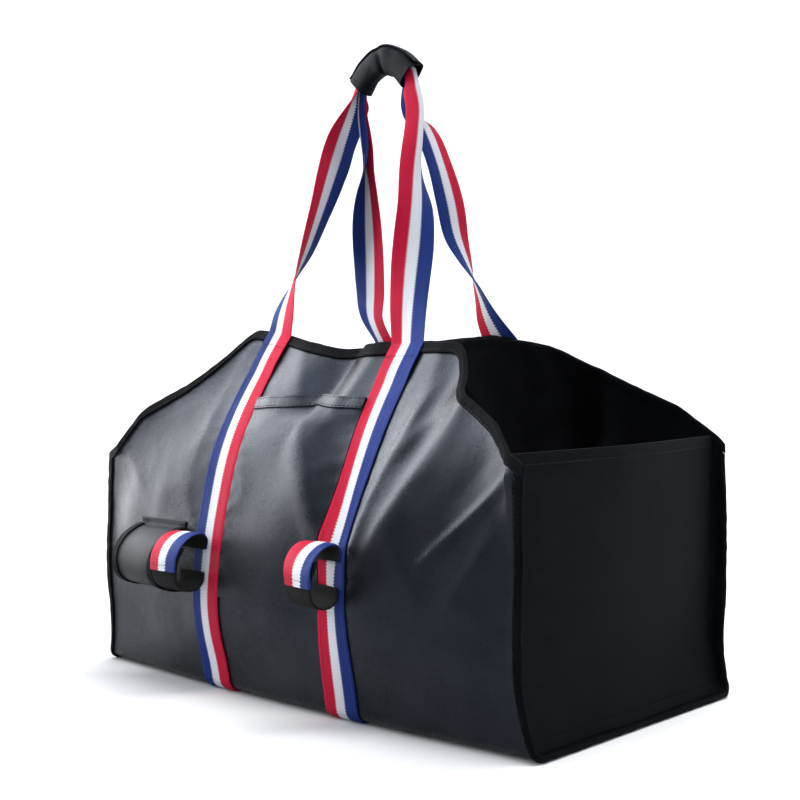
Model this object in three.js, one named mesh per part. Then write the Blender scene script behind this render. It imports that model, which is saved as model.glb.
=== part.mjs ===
// An open firewood bag of coated canvas that stands on its bottom with its handles up.
// One long panel makes the front, the bottom and the back, two end panels close the sides, and two loops of
// striped webbing run under the bottom, up both faces and through a padded grip.
// Units are millimetres. X runs along the bag, Y goes from the front to the back and Z is up.

import * as THREE from 'three';

// Driving sizes of the bag
const CANVAS = 2.0;
const FOOT_RADIUS = 12;
const BELLY_Z = 92;
const FLANK_Z = 165;
const CHEST_SHARE = 0.45;
const TUCK_Z = 70;
const FIN_FOOT = 6;
const FIN_WAIST = 11;
const FIN_RIM_FRONT = 15;
const FIN_RIM_BACK = 9;

// Webbing, tape and the clearances between sewn layers
const WEBBING_WIDTH = 40;
const WEBBING = 1.7;
const STRAP_X = 87;
const TAPE = 1.2;
const LAYER_GAP = 0.4;
const RIM_TAPE = 9;
const FLOOR_Z = WEBBING + LAYER_GAP;

// The tool loops stand out at the front, so the bag moves back to centre its whole outline on the origin
const CENTRE_SHIFT = 21;

// Front panel, one row for each upright section from the left end to the right end.
// foot, waist, rim: X at the floor, at mid height and at the top edge; top: Z of the top edge;
// base, belly, flank, chest, brim: how far the canvas stands in front of the centre plane, from low to high
const FRONT_SECTIONS = [
  { foot: -284, waist: -269, rim: -268, top: 232, base: 155, belly: 163, flank: 162, chest: 162, brim: 161 },
  { foot: -236, waist: -232, rim: -238, top: 271, base: 158, belly: 170, flank: 169, chest: 160, brim: 149 },
  { foot: -184, waist: -184, rim: -182, top: 301, base: 162, belly: 175, flank: 171, chest: 155, brim: 125 },
  { foot: -160, waist: -160, rim: -154, top: 325, base: 164, belly: 177, flank: 171, chest: 150, brim: 106 },
  { foot: -140, waist: -140, rim: -132, top: 356, base: 165, belly: 178, flank: 171, chest: 146, brim: 78 },
  { foot: -87, waist: -88, rim: -100, top: 352, base: 166, belly: 179, flank: 172, chest: 143, brim: 73 },
  { foot: 0, waist: 0, rim: -10, top: 332, base: 167, belly: 180, flank: 171, chest: 138, brim: 71 },
  { foot: 87, waist: 89, rim: 76, top: 336, base: 166, belly: 179, flank: 168, chest: 134, brim: 71 },
  { foot: 140, waist: 140, rim: 150, top: 334, base: 165, belly: 178, flank: 168, chest: 137, brim: 72 },
  { foot: 160, waist: 160, rim: 170, top: 308, base: 164, belly: 177, flank: 168, chest: 141, brim: 95 },
  { foot: 184, waist: 184, rim: 188, top: 292, base: 162, belly: 175, flank: 168, chest: 146, brim: 112 },
  { foot: 236, waist: 232, rim: 240, top: 264, base: 158, belly: 170, flank: 167, chest: 156, brim: 140 },
  { foot: 284, waist: 269, rim: 268, top: 240, base: 155, belly: 163, flank: 162, chest: 162, brim: 161 },
];

// Back panel, with the same columns
const BACK_SECTIONS = [
  { foot: -284, waist: -269, rim: -268, top: 240, base: 155, belly: 162, flank: 164, chest: 165, brim: 165 },
  { foot: -236, waist: -232, rim: -236, top: 276, base: 157, belly: 169, flank: 169, chest: 163, brim: 150 },
  { foot: -184, waist: -184, rim: -180, top: 308, base: 159, belly: 173, flank: 169, chest: 154, brim: 118 },
  { foot: -140, waist: -140, rim: -136, top: 334, base: 160, belly: 175, flank: 168, chest: 145, brim: 90 },
  { foot: -87, waist: -88, rim: -100, top: 347, base: 161, belly: 176, flank: 168, chest: 140, brim: 75 },
  { foot: 0, waist: 0, rim: -14, top: 346, base: 161, belly: 177, flank: 168, chest: 138, brim: 73 },
  { foot: 87, waist: 88, rim: 66, top: 349, base: 161, belly: 176, flank: 168, chest: 140, brim: 75 },
  { foot: 140, waist: 140, rim: 132, top: 336, base: 160, belly: 175, flank: 168, chest: 145, brim: 88 },
  { foot: 184, waist: 184, rim: 178, top: 308, base: 159, belly: 173, flank: 169, chest: 154, brim: 116 },
  { foot: 236, waist: 232, rim: 238, top: 276, base: 157, belly: 169, flank: 169, chest: 163, brim: 150 },
  { foot: 284, waist: 269, rim: 270, top: 248, base: 155, belly: 162, flank: 164, chest: 165, brim: 165 },
];

// Soft folds of each panel: a line from one point to another in the face, its half width, and how far it
// stands out
const FRONT_FOLDS = [
  { fromX: 168, fromZ: 300, toX: 114, toZ: 165, width: 17, height: 9 },
  { fromX: 196, fromZ: 280, toX: 140, toZ: 180, width: 15, height: -6 },
  { fromX: 270, fromZ: 232, toX: 205, toZ: 150, width: 13, height: 7 },
  { fromX: 252, fromZ: 168, toX: 222, toZ: 126, width: 13, height: 4 },
  { fromX: -58, fromZ: 318, toX: 44, toZ: 180, width: 20, height: 7 },
  { fromX: 50, fromZ: 262, toX: 66, toZ: 175, width: 12, height: -5 },
  { fromX: 46, fromZ: 330, toX: 40, toZ: 284, width: 11, height: 5 },
  { fromX: 6, fromZ: 324, toX: -30, toZ: 296, width: 12, height: -5 },
  { fromX: -262, fromZ: 240, toX: -225, toZ: 205, width: 13, height: 4 },
  { fromX: -140, fromZ: 320, toX: -165, toZ: 215, width: 18, height: 5 },
];
const BACK_FOLDS = [
  { fromX: -170, fromZ: 300, toX: -115, toZ: 170, width: 18, height: 7 },
  { fromX: 165, fromZ: 300, toX: 120, toZ: 170, width: 18, height: 7 },
  { fromX: 260, fromZ: 225, toX: 205, toZ: 150, width: 14, height: 5 },
  { fromX: -255, fromZ: 225, toX: -210, toZ: 150, width: 14, height: 5 },
  { fromX: -10, fromZ: 330, toX: 20, toZ: 200, width: 22, height: 5 },
];

// Columns of the canvas grid on one half, at the floor, and the rows of a face from the foot to the top edge:
// heights up to LOW_TOP, then shares of the way from there to the top edge. The lower of these rows run
// level, at the shares of a face that is EVEN_HEIGHT tall
const HALF_COLUMNS = [22, 45, 67, 87, 107, 124, 140, 160, 184, 210, 240];
const SEAM_FOOT = 284;
const FIN_COLUMN = SEAM_FOOT + FIN_FOOT;
const LOW_ROWS = [34, 55, 75, 96, 118, 142, 166, 190];
const LOW_TOP = 190;
const HIGH_SHARES = [0.17, 0.34, 0.5, 0.62, 0.7, 0.85];
const EVEN_HEIGHT = 334;
const EVEN_UNTIL = 0.6;
const BOTTOM_SHARES = [-0.5, 0, 0.5];

// Handle runs from the top edge up to the grip. turn is the angle of the webbing's width about its own run,
// nought where it lies along the bag. fold is how far each half is folded towards the other
const HANDLE_RUNS = {
  frontLeft: [
    { x: -101, y: -67, z: 378, turn: -14, fold: 0 },
    { x: -96, y: -57, z: 410, turn: -40, fold: 0 },
    { x: -88, y: -47, z: 442, turn: -62, fold: 0 },
    { x: -81, y: -34, z: 485, turn: -76, fold: 0 },
    { x: -79, y: -19, z: 526, turn: -90, fold: 0 },
    { x: -79, y: -7, z: 556, turn: -93, fold: 0 },
    { x: -73, y: -1, z: 585, turn: -90, fold: 24 },
  ],
  frontRight: [
    { x: 73, y: -65, z: 366, turn: 10, fold: 0 },
    { x: 67, y: -55, z: 402, turn: 26, fold: 0 },
    { x: 61, y: -44, z: 438, turn: 52, fold: 0 },
    { x: 55, y: -34, z: 474, turn: 74, fold: 4 },
    { x: 48, y: -23, z: 514, turn: 90, fold: 36 },
    { x: 44, y: -13, z: 552, turn: 90, fold: 58 },
    { x: 38, y: -5, z: 580, turn: 90, fold: 61 },
  ],
  backLeft: [
    { x: -110, y: 66, z: 378, turn: 4, fold: 0 },
    { x: -105, y: 58, z: 406, turn: 9, fold: 0 },
    { x: -94, y: 49, z: 441, turn: 12, fold: 4 },
    { x: -82, y: 38, z: 480, turn: 26, fold: 24 },
    { x: -73, y: 25, z: 517, turn: 45, fold: 58 },
    { x: -62, y: 9, z: 548, turn: 76, fold: 80 },
    { x: -58, y: 1, z: 583, turn: 90, fold: 82 },
  ],
  backRight: [
    { x: 62, y: 66, z: 372, turn: -24, fold: 0 },
    { x: 55, y: 58, z: 400, turn: -44, fold: 0 },
    { x: 48, y: 50, z: 426, turn: -70, fold: 0 },
    { x: 42, y: 42, z: 452, turn: -88, fold: 0 },
    { x: 40, y: 34, z: 486, turn: -94, fold: 0 },
    { x: 35, y: 25, z: 522, turn: -90, fold: 0 },
    { x: 20, y: 15, z: 564, turn: -90, fold: 22 },
    { x: 12, y: 5, z: 586, turn: -90, fold: 70 },
  ],
};
const STATIONS_PER_RUN = 16;
const GATHER_START = 0.9;

// Grip: its bent axis, its section and the way the two webbings lie folded and gathered inside it
const GRIP_AXIS = [
  { x: -53, z: 608 },
  { x: -46, z: 627 },
  { x: -19, z: 637 },
  { x: 8, z: 629 },
  { x: 16, z: 611 },
];
const GRIP_STATIONS = 9;
const GRIP_SIDES = 14;
const GRIP_INNER_WIDTH = 8.4;
const GRIP_INNER_HEIGHT = 11;
const GRIP_WALL = 2.4;
const GRIP_ROUNDNESS = 2.8;
const GRIP_TURN = -90;
const FRONT_IN_GRIP = { ridge: 7.8, fold: 68, gather: 0.7 };
const BACK_IN_GRIP = { ridge: 2.2, fold: 82, gather: 0.56 };
const RIDGE_LIMIT = 2.4;

// End panels, front pocket, tool pouch and tool loops
const END_BULGE = 14;
const END_COLUMNS = 8;
const END_HEM = 1.3;
const POCKET_CLOTH = 1.6;
const POCKET_FOOT_Z = 96;
const POCKET_HEM_SHARE = 0.62;
const POCKET_INSET = 0.12;
const POCKET_GAP = 0.8;
const POCKET_SLACK = 3;
const POCKET_HEM = 1.2;
const POUCH_LEFT = -206;
const POUCH_RIGHT = -127;
const POUCH_CLOTH = 1.6;
const POUCH_TAPE_WIDTH = 9;

// Upright outline of the pouch and of the two layers of a tool loop: out is the distance from the front face
const POUCH_OUTLINE = [
  { out: 1.5, z: 168 },
  { out: 1.5, z: 155 },
  { out: 11, z: 152 },
  { out: 25, z: 144 },
  { out: 34, z: 131 },
  { out: 36, z: 117 },
  { out: 31, z: 105 },
  { out: 18, z: 98 },
  { out: 2, z: 96 },
];
const TAB_OUTLINE = [
  { out: 3.7, z: 139 },
  { out: 4.4, z: 150 },
  { out: 12, z: 157 },
  { out: 25, z: 156 },
  { out: 36, z: 148 },
  { out: 42.5, z: 135 },
  { out: 43.5, z: 120 },
];
const HOOK_OUTLINE = [
  { out: 3.7, z: 112 },
  { out: 5, z: 101 },
  { out: 13, z: 95 },
  { out: 26, z: 96 },
  { out: 36, z: 103 },
  { out: 40.2, z: 114 },
  { out: 40, z: 130 },
  { out: 35, z: 143 },
];
const LOOPS = [
  { side: 'left', rootX: -106, endX: -100, lift: 0 },
  { side: 'right', rootX: 80, endX: 91, lift: 5 },
];
const LOOP_WIDTHS = [-0.5, 0, 0.5];

const canvasFinish = () => new THREE.MeshStandardMaterial({ color: 0x45474b, roughness: 0.5 });
const endFinish = () => new THREE.MeshStandardMaterial({ color: 0x1b1d20, roughness: 0.8 });
const tapeFinish = () => new THREE.MeshStandardMaterial({ color: 0x121315, roughness: 0.7 });
const webbingFinish = () => new THREE.MeshStandardMaterial({ color: 0xc0324a, roughness: 0.65 });
const gripFinish = () => new THREE.MeshStandardMaterial({ color: 0x1d2023, roughness: 0.85 });
const hookFinish = () => new THREE.MeshStandardMaterial({ color: 0x16171a, roughness: 0.95 });

const bag = new THREE.Group();
bag.position.y = CENTRE_SHIFT;

function ease(share) {
  const s = THREE.MathUtils.clamp(share, 0, 1);
  return s * s * (3 - 2 * s);
}

// Straight lines between knots of [position, value]
function straightThrough(knots, at) {
  const last = knots.length - 1;
  let k = 0;
  while (k < last - 1 && at > knots[k + 1][0]) k += 1;
  const share = (at - knots[k][0]) / (knots[k + 1][0] - knots[k][0]);
  return THREE.MathUtils.lerp(knots[k][1], knots[k + 1][1], THREE.MathUtils.clamp(share, 0, 1));
}

// A smooth curve through knots of [position, value], with each slope taken from the neighbouring knots
function smoothThrough(knots, at) {
  const last = knots.length - 1;
  const slope = (k) => {
    const a = knots[Math.max(k - 1, 0)];
    const b = knots[Math.min(k + 1, last)];
    return (b[1] - a[1]) / (b[0] - a[0]);
  };
  let k = 0;
  while (k < last - 1 && at > knots[k + 1][0]) k += 1;
  const span = knots[k + 1][0] - knots[k][0];
  const s = THREE.MathUtils.clamp((at - knots[k][0]) / span, 0, 1);
  const s2 = s * s;
  const s3 = s2 * s;
  return (2 * s3 - 3 * s2 + 1) * knots[k][1] + (s3 - 2 * s2 + s) * span * slope(k)
    + (3 * s2 - 2 * s3) * knots[k + 1][1] + (s3 - s2) * span * slope(k + 1);
}

// The upright section of a panel at a column, worked out between the rows of its table
function sectionAt(sections, column) {
  const foot = THREE.MathUtils.clamp(column, -SEAM_FOOT, SEAM_FOOT);
  const straight = (name) => straightThrough(sections.map((row) => [row.foot, row[name]]), foot);
  const smooth = (name) => smoothThrough(sections.map((row) => [row.foot, row[name]]), foot);
  return {
    foot,
    waist: smooth('waist'),
    rim: straight('rim'),
    top: straight('top'),
    base: smooth('base'),
    belly: smooth('belly'),
    flank: smooth('flank'),
    chest: smooth('chest'),
    brim: straight('brim'),
  };
}

// How far the folds raise the canvas at a point of a face
function foldHeight(folds, x, z) {
  let sum = 0;
  for (const fold of folds) {
    const alongX = fold.toX - fold.fromX;
    const alongZ = fold.toZ - fold.fromZ;
    const length = Math.hypot(alongX, alongZ);
    const along = ((x - fold.fromX) * alongX + (z - fold.fromZ) * alongZ) / length;
    const across = ((x - fold.fromX) * alongZ - (z - fold.fromZ) * alongX) / length;
    const beyond = Math.max(0, -along, along - length);
    sum += fold.height * Math.exp(-((across / fold.width) ** 2) - ((beyond / (1.5 * fold.width)) ** 2));
  }
  return sum;
}

const FRONT = { sections: FRONT_SECTIONS, folds: FRONT_FOLDS, finRim: FIN_RIM_FRONT, sign: -1 };
const BACK = { sections: BACK_SECTIONS, folds: BACK_FOLDS, finRim: FIN_RIM_BACK, sign: 1 };

// A point on the outside of a face, at a column of the grid and a height
function facePoint(face, column, z) {
  const section = sectionAt(face.sections, column);
  const chestZ = THREE.MathUtils.lerp(FLANK_Z, section.top, CHEST_SHARE);
  const upper = ease((z - FLANK_Z) / (section.top - FLANK_Z));
  let x = THREE.MathUtils.lerp(section.foot, section.waist, Math.sqrt(ease(z / TUCK_Z)));
  x += (section.rim - section.waist) * upper;
  if (Math.abs(column) > SEAM_FOOT) {
    const low = THREE.MathUtils.lerp(FIN_FOOT, FIN_WAIST, ease(z / BELLY_Z));
    x += Math.sign(column) * THREE.MathUtils.lerp(low, face.finRim, upper);
  }
  const depth = smoothThrough([
    [FLOOR_Z + FOOT_RADIUS, section.base],
    [BELLY_Z, section.belly],
    [FLANK_Z, section.flank],
    [chestZ, section.chest],
    [section.top, section.brim],
  ], z);
  return new THREE.Vector3(x, face.sign * (depth + foldHeight(face.folds, x, z)), z);
}

// Heights of the rows of a face at one column, from the foot up to the top edge
function rowHeights(face, column) {
  const height = sectionAt(face.sections, column).top;
  const heights = [FLOOR_Z + FOOT_RADIUS, ...LOW_ROWS];
  for (const share of HIGH_SHARES) {
    const uneven = ease((share - EVEN_UNTIL) / (1 - EVEN_UNTIL));
    const reach = THREE.MathUtils.lerp(Math.min(height, EVEN_HEIGHT), height, uneven);
    heights.push(LOW_TOP + (reach - LOW_TOP) * share * (1 - RIM_TAPE / (height - LOW_TOP)));
  }
  heights.push(height - RIM_TAPE, height);
  return heights;
}

// The path of one column round the bag: down the front, round the foot, under the bottom and up the back
function columnPath(column) {
  const rise = (face) => rowHeights(face, column).map((z) => facePoint(face, column, z));
  const flat = (face) => sectionAt(face.sections, column).base - FOOT_RADIUS;
  const footX = facePoint(FRONT, column, 0).x;
  const middle = FOOT_RADIUS * Math.SQRT1_2;
  const bend = (face) => {
    return new THREE.Vector3(footX, face.sign * (flat(face) + middle), FLOOR_Z + FOOT_RADIUS - middle);
  };
  const bottom = [-1, ...BOTTOM_SHARES, 1].map((share) => {
    return new THREE.Vector3(footX, share * flat(share < 0 ? FRONT : BACK), FLOOR_Z);
  });
  return [...rise(FRONT).reverse(), bend(FRONT), ...bottom, bend(BACK), ...rise(BACK)];
}

// The outward direction at each point of a grid of points
function gridNormals(grid) {
  const last = grid.length - 1;
  const wide = grid[0].length - 1;
  return grid.map((row, i) => row.map((point, j) => {
    const along = grid[Math.min(i + 1, last)][j].clone().sub(grid[Math.max(i - 1, 0)][j]);
    const across = row[Math.min(j + 1, wide)].clone().sub(row[Math.max(j - 1, 0)]);
    return along.cross(across).normalize();
  }));
}

// A closed solid between two grids of the same size. A ring's last column joins its first.
// Every patch is split along the diagonal that bulges away from the bag's middle, so sewn layers stay
// parallel
function sheetSolid(name, outer, inner, finish, ring = false) {
  const rows = outer.length;
  const columns = outer[0].length;
  const points = [...outer.flat(), ...inner.flat()];
  const outside = (i, j) => i * columns + (j % columns);
  const inside = (i, j) => rows * columns + outside(i, j);
  const faces = [];
  const quad = (a, b, c, d) => faces.push(a, b, c, a, c, d);
  const steps = ring ? columns : columns - 1;
  for (let i = 0; i < rows - 1; i += 1) {
    for (let j = 0; j < steps; j += 1) {
      const corners = [[i, j], [i, j + 1], [i + 1, j + 1], [i + 1, j]];
      const [a, b, c, d] = corners.map(([row, column]) => points[outside(row, column)]);
      const twist = a.clone().add(c).sub(b).sub(d);
      if (twist.dot(a.clone().add(c).sub(MIDDLE).sub(MIDDLE)) < 0) corners.push(corners.shift());
      const [first, second, third, fourth] = corners;
      quad(outside(...first), outside(...second), outside(...third), outside(...fourth));
      quad(inside(...first), inside(...fourth), inside(...third), inside(...second));
    }
    if (!ring) {
      quad(outside(i, 0), outside(i + 1, 0), inside(i + 1, 0), inside(i, 0));
      quad(outside(i, steps), inside(i, steps), inside(i + 1, steps), outside(i + 1, steps));
    }
  }
  for (let j = 0; j < steps; j += 1) {
    quad(outside(0, j), inside(0, j), inside(0, j + 1), outside(0, j + 1));
    quad(outside(rows - 1, j), outside(rows - 1, j + 1), inside(rows - 1, j + 1), inside(rows - 1, j));
  }
  let volume = 0;
  for (let f = 0; f < faces.length; f += 3) {
    volume += points[faces[f]].dot(points[faces[f + 1]].clone().cross(points[faces[f + 2]]));
  }
  if (volume < 0) faces.reverse();
  const geometry = new THREE.BufferGeometry();
  geometry.setAttribute('position', new THREE.Float32BufferAttribute(points.flatMap((p) => p.toArray()), 3));
  geometry.setIndex(faces);
  geometry.computeVertexNormals();
  const mesh = new THREE.Mesh(geometry, finish);
  mesh.name = name;
  bag.add(mesh);
}

const MIDDLE = new THREE.Vector3(0, 0, BELLY_Z);
const offset = (point, direction, distance) => point.clone().addScaledVector(direction, distance);

// The canvas grid: rows follow the path round the bag and columns run from the left end to the right end
const RIGHT_COLUMNS = [...HALF_COLUMNS, SEAM_FOOT, FIN_COLUMN];
const COLUMNS = [...RIGHT_COLUMNS.map((x) => -x).reverse(), 0, ...RIGHT_COLUMNS];
const paths = COLUMNS.map(columnPath);
const canvas = paths[0].map((_, i) => paths.map((path) => path[i]));
const outward = gridNormals(canvas);
const FACE_ROWS = LOW_ROWS.length + HIGH_SHARES.length + 3;
const LAST_ROW = canvas.length - 1;
const columnOf = (foot) => COLUMNS.indexOf(foot);

function bodyPanel() {
  const inner = canvas.map((row, i) => row.map((point, j) => offset(point, outward[i][j], -CANVAS)));
  sheetSolid('body_panel', canvas, inner, canvasFinish());
}

// Tape folded over an edge. Each station has the edge, a point further in, and the outward directions there
function edgeTape(name, stations) {
  const layer = (gap) => stations.map(({ edge, edgeOut, within, withinOut }) => {
    const beyond = edge.clone().sub(within).normalize();
    return [
      offset(within, withinOut, gap),
      offset(offset(edge, edgeOut, gap), beyond, gap),
      offset(offset(edge, edgeOut, -CANVAS - gap), beyond, gap),
      offset(within, withinOut, -CANVAS - gap),
    ];
  });
  sheetSolid(name, layer(LAYER_GAP + TAPE), layer(LAYER_GAP), tapeFinish());
}

function rimBinding(name, rimRow, lowRow) {
  edgeTape(name, COLUMNS.map((_, j) => ({
    edge: canvas[rimRow][j],
    edgeOut: outward[rimRow][j],
    within: canvas[lowRow][j],
    withinOut: outward[lowRow][j],
  })));
}

// The end seam's tape starts just below the rim's tape and covers most of the fin
function seamBinding(name, finColumn, seamColumn) {
  const stations = [];
  const cover = 0.82;
  const below = 0.35;
  for (let i = 1; i < LAST_ROW; i += 1) {
    let from = i;
    if (i === 1) from = 2;
    if (i === LAST_ROW - 1) from = LAST_ROW - 2;
    const share = from === i ? 0 : 1 - below;
    const place = (grid, j) => grid[from][j].clone().lerp(grid[i][j], share);
    const edge = place(canvas, finColumn);
    const edgeOut = place(outward, finColumn).normalize();
    const within = edge.clone().lerp(place(canvas, seamColumn), cover);
    stations.push({ edge, edgeOut, within, withinOut: edgeOut });
  }
  edgeTape(name, stations);
}

// An end wall between the front and the back, which bulges and has a doubled hem along its top edge
function endPanel(name, seamColumn) {
  const side = Math.sign(COLUMNS[seamColumn]);
  const thicknessAt = (i) => (i < 2 ? CANVAS + END_HEM : CANVAS);
  // Where the wall meets the inside of the canvas, clear of it on both sides of the wall's thickness
  const meeting = (i, thickness, layers) => {
    const at = (j) => offset(canvas[i][j], outward[i][j], -layers);
    const seam = at(seamColumn);
    const within = at(seamColumn - side);
    const share = (thickness + LAYER_GAP) / Math.abs(within.x - seam.x);
    const deeper = seam.clone().lerp(within, share);
    const point = Math.abs(deeper.y) < Math.abs(seam.y) ? deeper : seam;
    point.x = canvas[i][seamColumn].x - side * LAYER_GAP;
    return point;
  };
  const rows = [];
  for (let i = 0; i <= FACE_ROWS + 1; i += 1) {
    const layers = CANVAS + 2 * LAYER_GAP + (i < 3 ? 2 * LAYER_GAP + TAPE : 0);
    const front = meeting(i, thicknessAt(i), layers);
    const back = meeting(LAST_ROW - i, thicknessAt(i), layers);
    const row = [];
    for (let k = 0; k <= END_COLUMNS; k += 1) {
      const share = (1 - Math.cos(Math.PI * k / END_COLUMNS)) / 2;
      const point = front.clone().lerp(back, share);
      const high = ease((point.z - FLOOR_Z - CANVAS) / FLANK_Z);
      point.x += side * END_BULGE * Math.sin(Math.PI * share) * high;
      row.push(point);
    }
    rows.push(row);
  }
  const inner = rows.map((row, i) => row.map((point) => {
    return new THREE.Vector3(point.x - side * thicknessAt(i), point.y, point.z);
  }));
  sheetSolid(name, rows, inner, endFinish());
}

// A patch between the front straps that follows the canvas, slack towards its open top, with a doubled hem
function frontPocket() {
  const innerEdge = STRAP_X - WEBBING_WIDTH / 2;
  const first = columnOf(-innerEdge);
  const last = columnOf(innerEdge);
  const footRow = FACE_ROWS - 1;
  const lowRow = footRow - LOW_ROWS.indexOf(POCKET_FOOT_Z) - 1;
  const hemRow = footRow - LOW_ROWS.length - HIGH_SHARES.indexOf(POCKET_HEM_SHARE) - 1;
  const topRow = hemRow - 1;
  const layer = (outside) => {
    const rows = [];
    for (let i = topRow; i <= lowRow; i += 1) {
      const row = [];
      for (let j = first; j <= last; j += 1) {
        const point = canvas[i][j].clone();
        const normal = outward[i][j].clone();
        if (j === first) {
          point.lerp(canvas[i][j + 1], POCKET_INSET);
          normal.lerp(outward[i][j + 1], POCKET_INSET);
        }
        if (j === last) {
          point.lerp(canvas[i][j - 1], POCKET_INSET);
          normal.lerp(outward[i][j - 1], POCKET_INSET);
        }
        const across = Math.sin(Math.PI * (j - first) / (last - first));
        const open = ease((lowRow - i) / (lowRow - topRow));
        const hem = outside && i <= hemRow ? POCKET_HEM : 0;
        const height = POCKET_GAP + POCKET_SLACK * across * open + (outside ? POCKET_CLOTH + hem : 0);
        row.push(offset(point, normal.normalize(), height));
      }
      rows.push(row);
    }
    return rows;
  };
  sheetSolid('front_pocket', layer(true), layer(false), canvasFinish());
}

// The grip's axis, with the direction along it and the direction away from the hand at each station
const gripCurve = new THREE.CatmullRomCurve3(GRIP_AXIS.map((row) => new THREE.Vector3(row.x, 0, row.z)));
const ALONG_Y = new THREE.Vector3(0, 1, 0);
const gripStations = Array.from({ length: GRIP_STATIONS + 1 }, (_, k) => {
  const along = gripCurve.getTangentAt(k / GRIP_STATIONS);
  return { centre: gripCurve.getPointAt(k / GRIP_STATIONS), up: along.clone().cross(ALONG_Y), along };
});

function grip() {
  const ring = (wall) => gripStations.map(({ centre, up }) => {
    const points = [];
    for (let k = 0; k < GRIP_SIDES; k += 1) {
      const angle = 2 * Math.PI * k / GRIP_SIDES;
      const round = (value) => Math.sign(value) * Math.abs(value) ** (2 / GRIP_ROUNDNESS);
      const across = (GRIP_INNER_WIDTH + wall) * round(Math.cos(angle));
      const high = (GRIP_INNER_HEIGHT + wall) * round(Math.sin(angle));
      points.push(offset(offset(centre, ALONG_Y, across), up, high));
    }
    return points;
  });
  sheetSolid('grip', ring(GRIP_WALL), ring(0), gripFinish(), true);
}

// One handle run as stations from the top edge of the bag to the end of the grip
function handleRun({ rows, startTurn, endTurn }, rim, end, inGrip) {
  const knots = [rim, ...rows.map((row) => new THREE.Vector3(row.x, row.y, row.z)), end];
  const curve = new THREE.CatmullRomCurve3(knots, false, 'centripetal');
  const turns = [startTurn, ...rows.map((row) => row.turn), endTurn].map((turn, k) => [k, turn]);
  const folds = [0, ...rows.map((row) => row.fold), inGrip.fold].map((fold, k) => [k, fold]);
  const stations = [];
  for (let k = 1; k < STATIONS_PER_RUN; k += 1) {
    const share = k / STATIONS_PER_RUN;
    const along = curve.getTangentAt(share);
    const place = curve.getUtoTmapping(share) * (knots.length - 1);
    const gathered = ease((share - GATHER_START) / (1 - GATHER_START));
    stations.push({
      centre: curve.getPointAt(share),
      along,
      turn: smoothThrough(turns, place),
      fold: Math.max(0, smoothThrough(folds, place)),
      gather: THREE.MathUtils.lerp(1, inGrip.gather, gathered),
    });
  }
  return stations;
}

// The cross-section of free webbing: two halves about a ridge, folded by an angle towards the hand
function webbingSection({ centre, along, turn, fold, gather }, heading) {
  const angle = THREE.MathUtils.degToRad(heading + turn);
  const width = new THREE.Vector3(Math.cos(angle), Math.sin(angle), 0);
  width.addScaledVector(along, -width.dot(along)).normalize();
  const face = width.clone().cross(along).normalize();
  const wing = THREE.MathUtils.degToRad(fold);
  const half = gather * WEBBING_WIDTH / 2;
  const ridge = Math.min(WEBBING / 2 / Math.cos(wing), RIDGE_LIMIT);
  const layer = (side) => [-1, 0, 1].map((edge) => {
    const lean = -Math.abs(edge) * half * Math.sin(wing);
    const tilt = edge * half * Math.cos(wing);
    const thick = edge === 0 ? ridge : WEBBING / 2 * Math.cos(wing);
    const spread = edge * Math.sin(wing) * WEBBING / 2;
    return offset(offset(centre, width, tilt + side * spread), face, lean + side * thick);
  });
  return { outer: layer(1), inner: layer(-1) };
}

// Webbing sewn on a face, from under the bottom to the top edge, or the other way round. The two webbings
// meet under the middle of the bottom
function sewnWebbing(columns, rows, rimRow, lowRow) {
  const awayFromMiddle = new THREE.Vector3(0, Math.sign(rimRow - MIDDLE_ROW) * LAYER_GAP, 0);
  return rows.map((i) => {
    const near = i === rimRow || i === lowRow ? 2 * LAYER_GAP + TAPE : LAYER_GAP;
    const layer = (distance) => columns.map((j) => {
      const point = offset(canvas[i][j], outward[i][j], distance);
      return i === MIDDLE_ROW ? point.add(awayFromMiddle) : point;
    });
    return { outer: layer(near + WEBBING), inner: layer(near) };
  });
}

// A whole loop of webbing: under the bottom, up one face, through the grip and down the same face again
function webbingLoop(name, spec) {
  const half = WEBBING_WIDTH / 2;
  const columnsAt = (x) => [x - half, x, x + half].map(columnOf);
  const left = columnsAt(-STRAP_X);
  const right = columnsAt(STRAP_X);
  const leftColumns = spec.outerEdgeFirst ? left : [...left].reverse();
  const rightColumns = spec.outerEdgeFirst ? [...right].reverse() : right;
  const rows = spec.rows;
  const rimRow = rows[rows.length - 1];
  const lowRow = rows[rows.length - 2];
  const up = sewnWebbing(leftColumns, rows, rimRow, lowRow);
  const down = sewnWebbing(rightColumns, [...rows].reverse(), rimRow, lowRow);
  const middle = (sections) => sections.outer[1].clone().lerp(sections.inner[1], 0.5);
  const gripPart = gripStations.map(({ centre, up: away, along }) => ({
    centre: offset(centre, away, spec.inGrip.ridge),
    along,
    turn: GRIP_TURN,
    fold: spec.inGrip.fold,
    gather: spec.inGrip.gather,
  }));
  const ends = [gripPart[0].centre, gripPart[GRIP_STATIONS].centre];
  const leftRun = handleRun(spec.leftRun, middle(up[up.length - 1]), ends[0], spec.inGrip);
  const rightRun = handleRun(spec.rightRun, middle(down[0]), ends[1], spec.inGrip);
  const free = [
    ...leftRun.map((station) => webbingSection(station, spec.leftHeading)),
    ...gripPart.map((station) => webbingSection(station, 0)),
    ...rightRun.reverse().map((station) => {
      const downward = { ...station, along: station.along.clone().negate() };
      return webbingSection(downward, spec.leftHeading + 180);
    }),
  ];
  const sections = [...up, ...free, ...down];
  sheetSolid(name, sections.map((s) => s.outer), sections.map((s) => s.inner), webbingFinish());
}

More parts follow.
